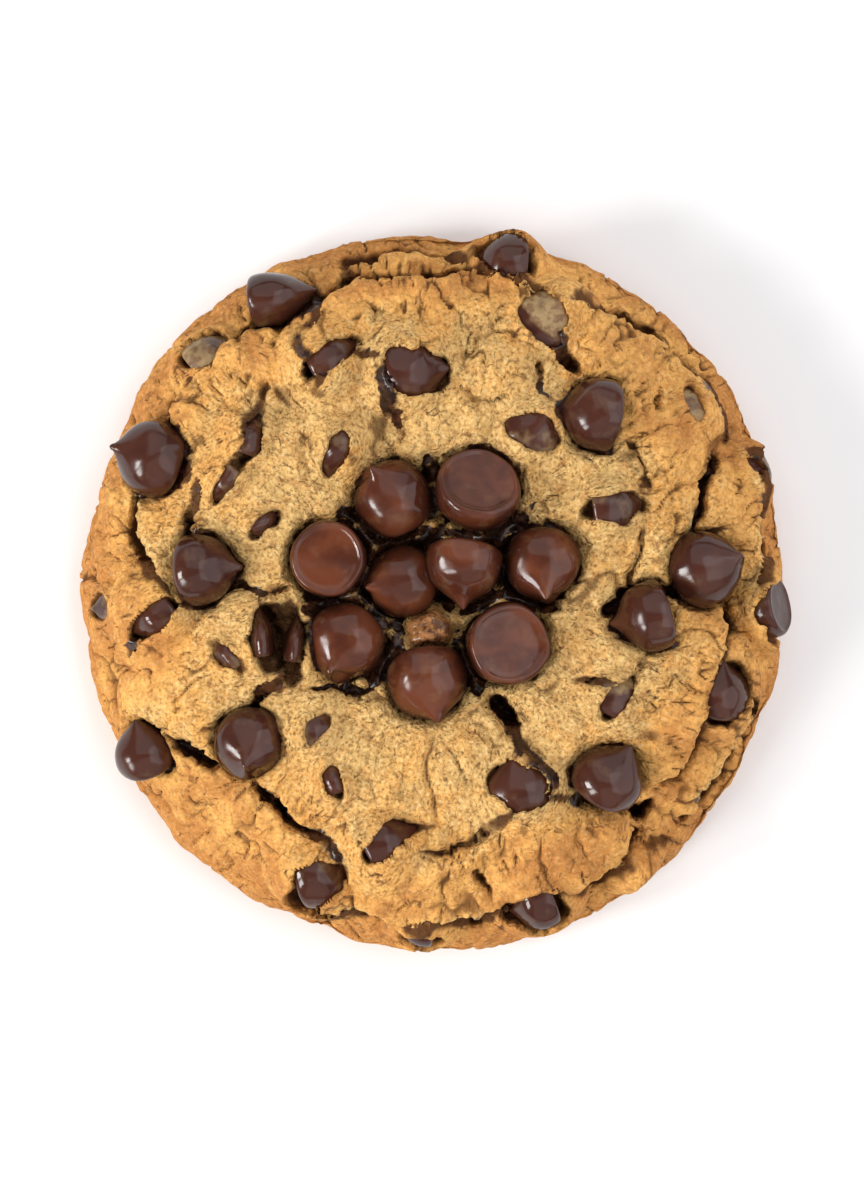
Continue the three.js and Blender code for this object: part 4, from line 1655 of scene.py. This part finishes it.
@dataclass
class Studio:
    """The camera, the pale floor and the soft light. Lengths are in millimetres."""

    distance: float = 570.0
    frame_height: float = 143.5
    frame_level: float = 4.0
    sensor: float = 36.0
    floor_half: float = 2000.0
    floor_colour: Colour = (0.90, 0.90, 0.90)
    floor_roughness: float = 0.6
    room_colour: Colour = (0.98, 0.985, 1.0)
    room_light: float = 0.20

    def build(self) -> None:
        """Makes everything round the cookie."""
        self._camera()
        self._floor()
        for lamp in LAMPS:
            lamp.build()
        world = bpy.data.worlds.new("room")
        world.use_nodes = True
        backdrop = world.node_tree.nodes["Background"]
        backdrop.inputs["Color"].default_value = (*self.room_colour, 1.0)
        backdrop.inputs["Strength"].default_value = self.room_light
        bpy.context.scene.world = world
        bpy.context.scene.view_settings.view_transform = "Standard"

    def _camera(self) -> None:
        """Looks straight down on the cookie."""
        lens = bpy.data.cameras.new("overhead")
        lens.sensor_width = self.sensor
        lens.lens = self.sensor * (self.distance - self.frame_level) / self.frame_height
        lens.clip_start = 0.01
        camera = to_scene("overhead", lens)
        camera.location = (0.0, 0.0, self.distance * MM)
        bpy.context.scene.camera = camera

    def _floor(self) -> None:
        """Lays the pale floor."""
        shape = bmesh.new()
        bmesh.ops.create_grid(shape, x_segments=1, y_segments=1, size=self.floor_half * MM)
        mesh = to_mesh(shape, "floor")
        material = bpy.data.materials.new("white floor")
        material.use_nodes = True
        shader = material.node_tree.nodes["Principled BSDF"]
        shader.inputs["Base Color"].default_value = (*self.floor_colour, 1.0)
        shader.inputs["Roughness"].default_value = self.floor_roughness
        mesh.materials.append(material)
        to_scene("floor", mesh)


def add_piece(piece: bpy.types.Object, node: str) -> None:
    """Joins a finished piece to the frame in place of its node, and reports it.

    Args:
        piece: the finished piece.
        node: the frame's node that it replaces.
    """
    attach(piece, BODY)
    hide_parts(node)
    log.info("%s: %d faces, for %s", piece.name, len(piece.data.polygons), node)


def main() -> None:
    """Builds the cookie's pieces over the frame, in order."""
    logging.basicConfig(level=logging.INFO, format="%(name)s %(message)s")
    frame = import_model()
    nodes = {name: node for name, node in frame["nodes"].items() if name.startswith("chip_")}
    poses = [ChipPose.of(node) for _, node in sorted(nodes.items())]

    chocolate = ChocolateFinish().material()
    pieces = [Chip(pose, number).build(chocolate) for number, pose in enumerate(poses)]
    for pose, piece in zip(poses, pieces):
        add_piece(piece, pose.name)
    add_piece(Dough(CookieForm(), poses, pieces).build(), "dough")

    Studio().build()


if __name__ == "__main__":
    main()
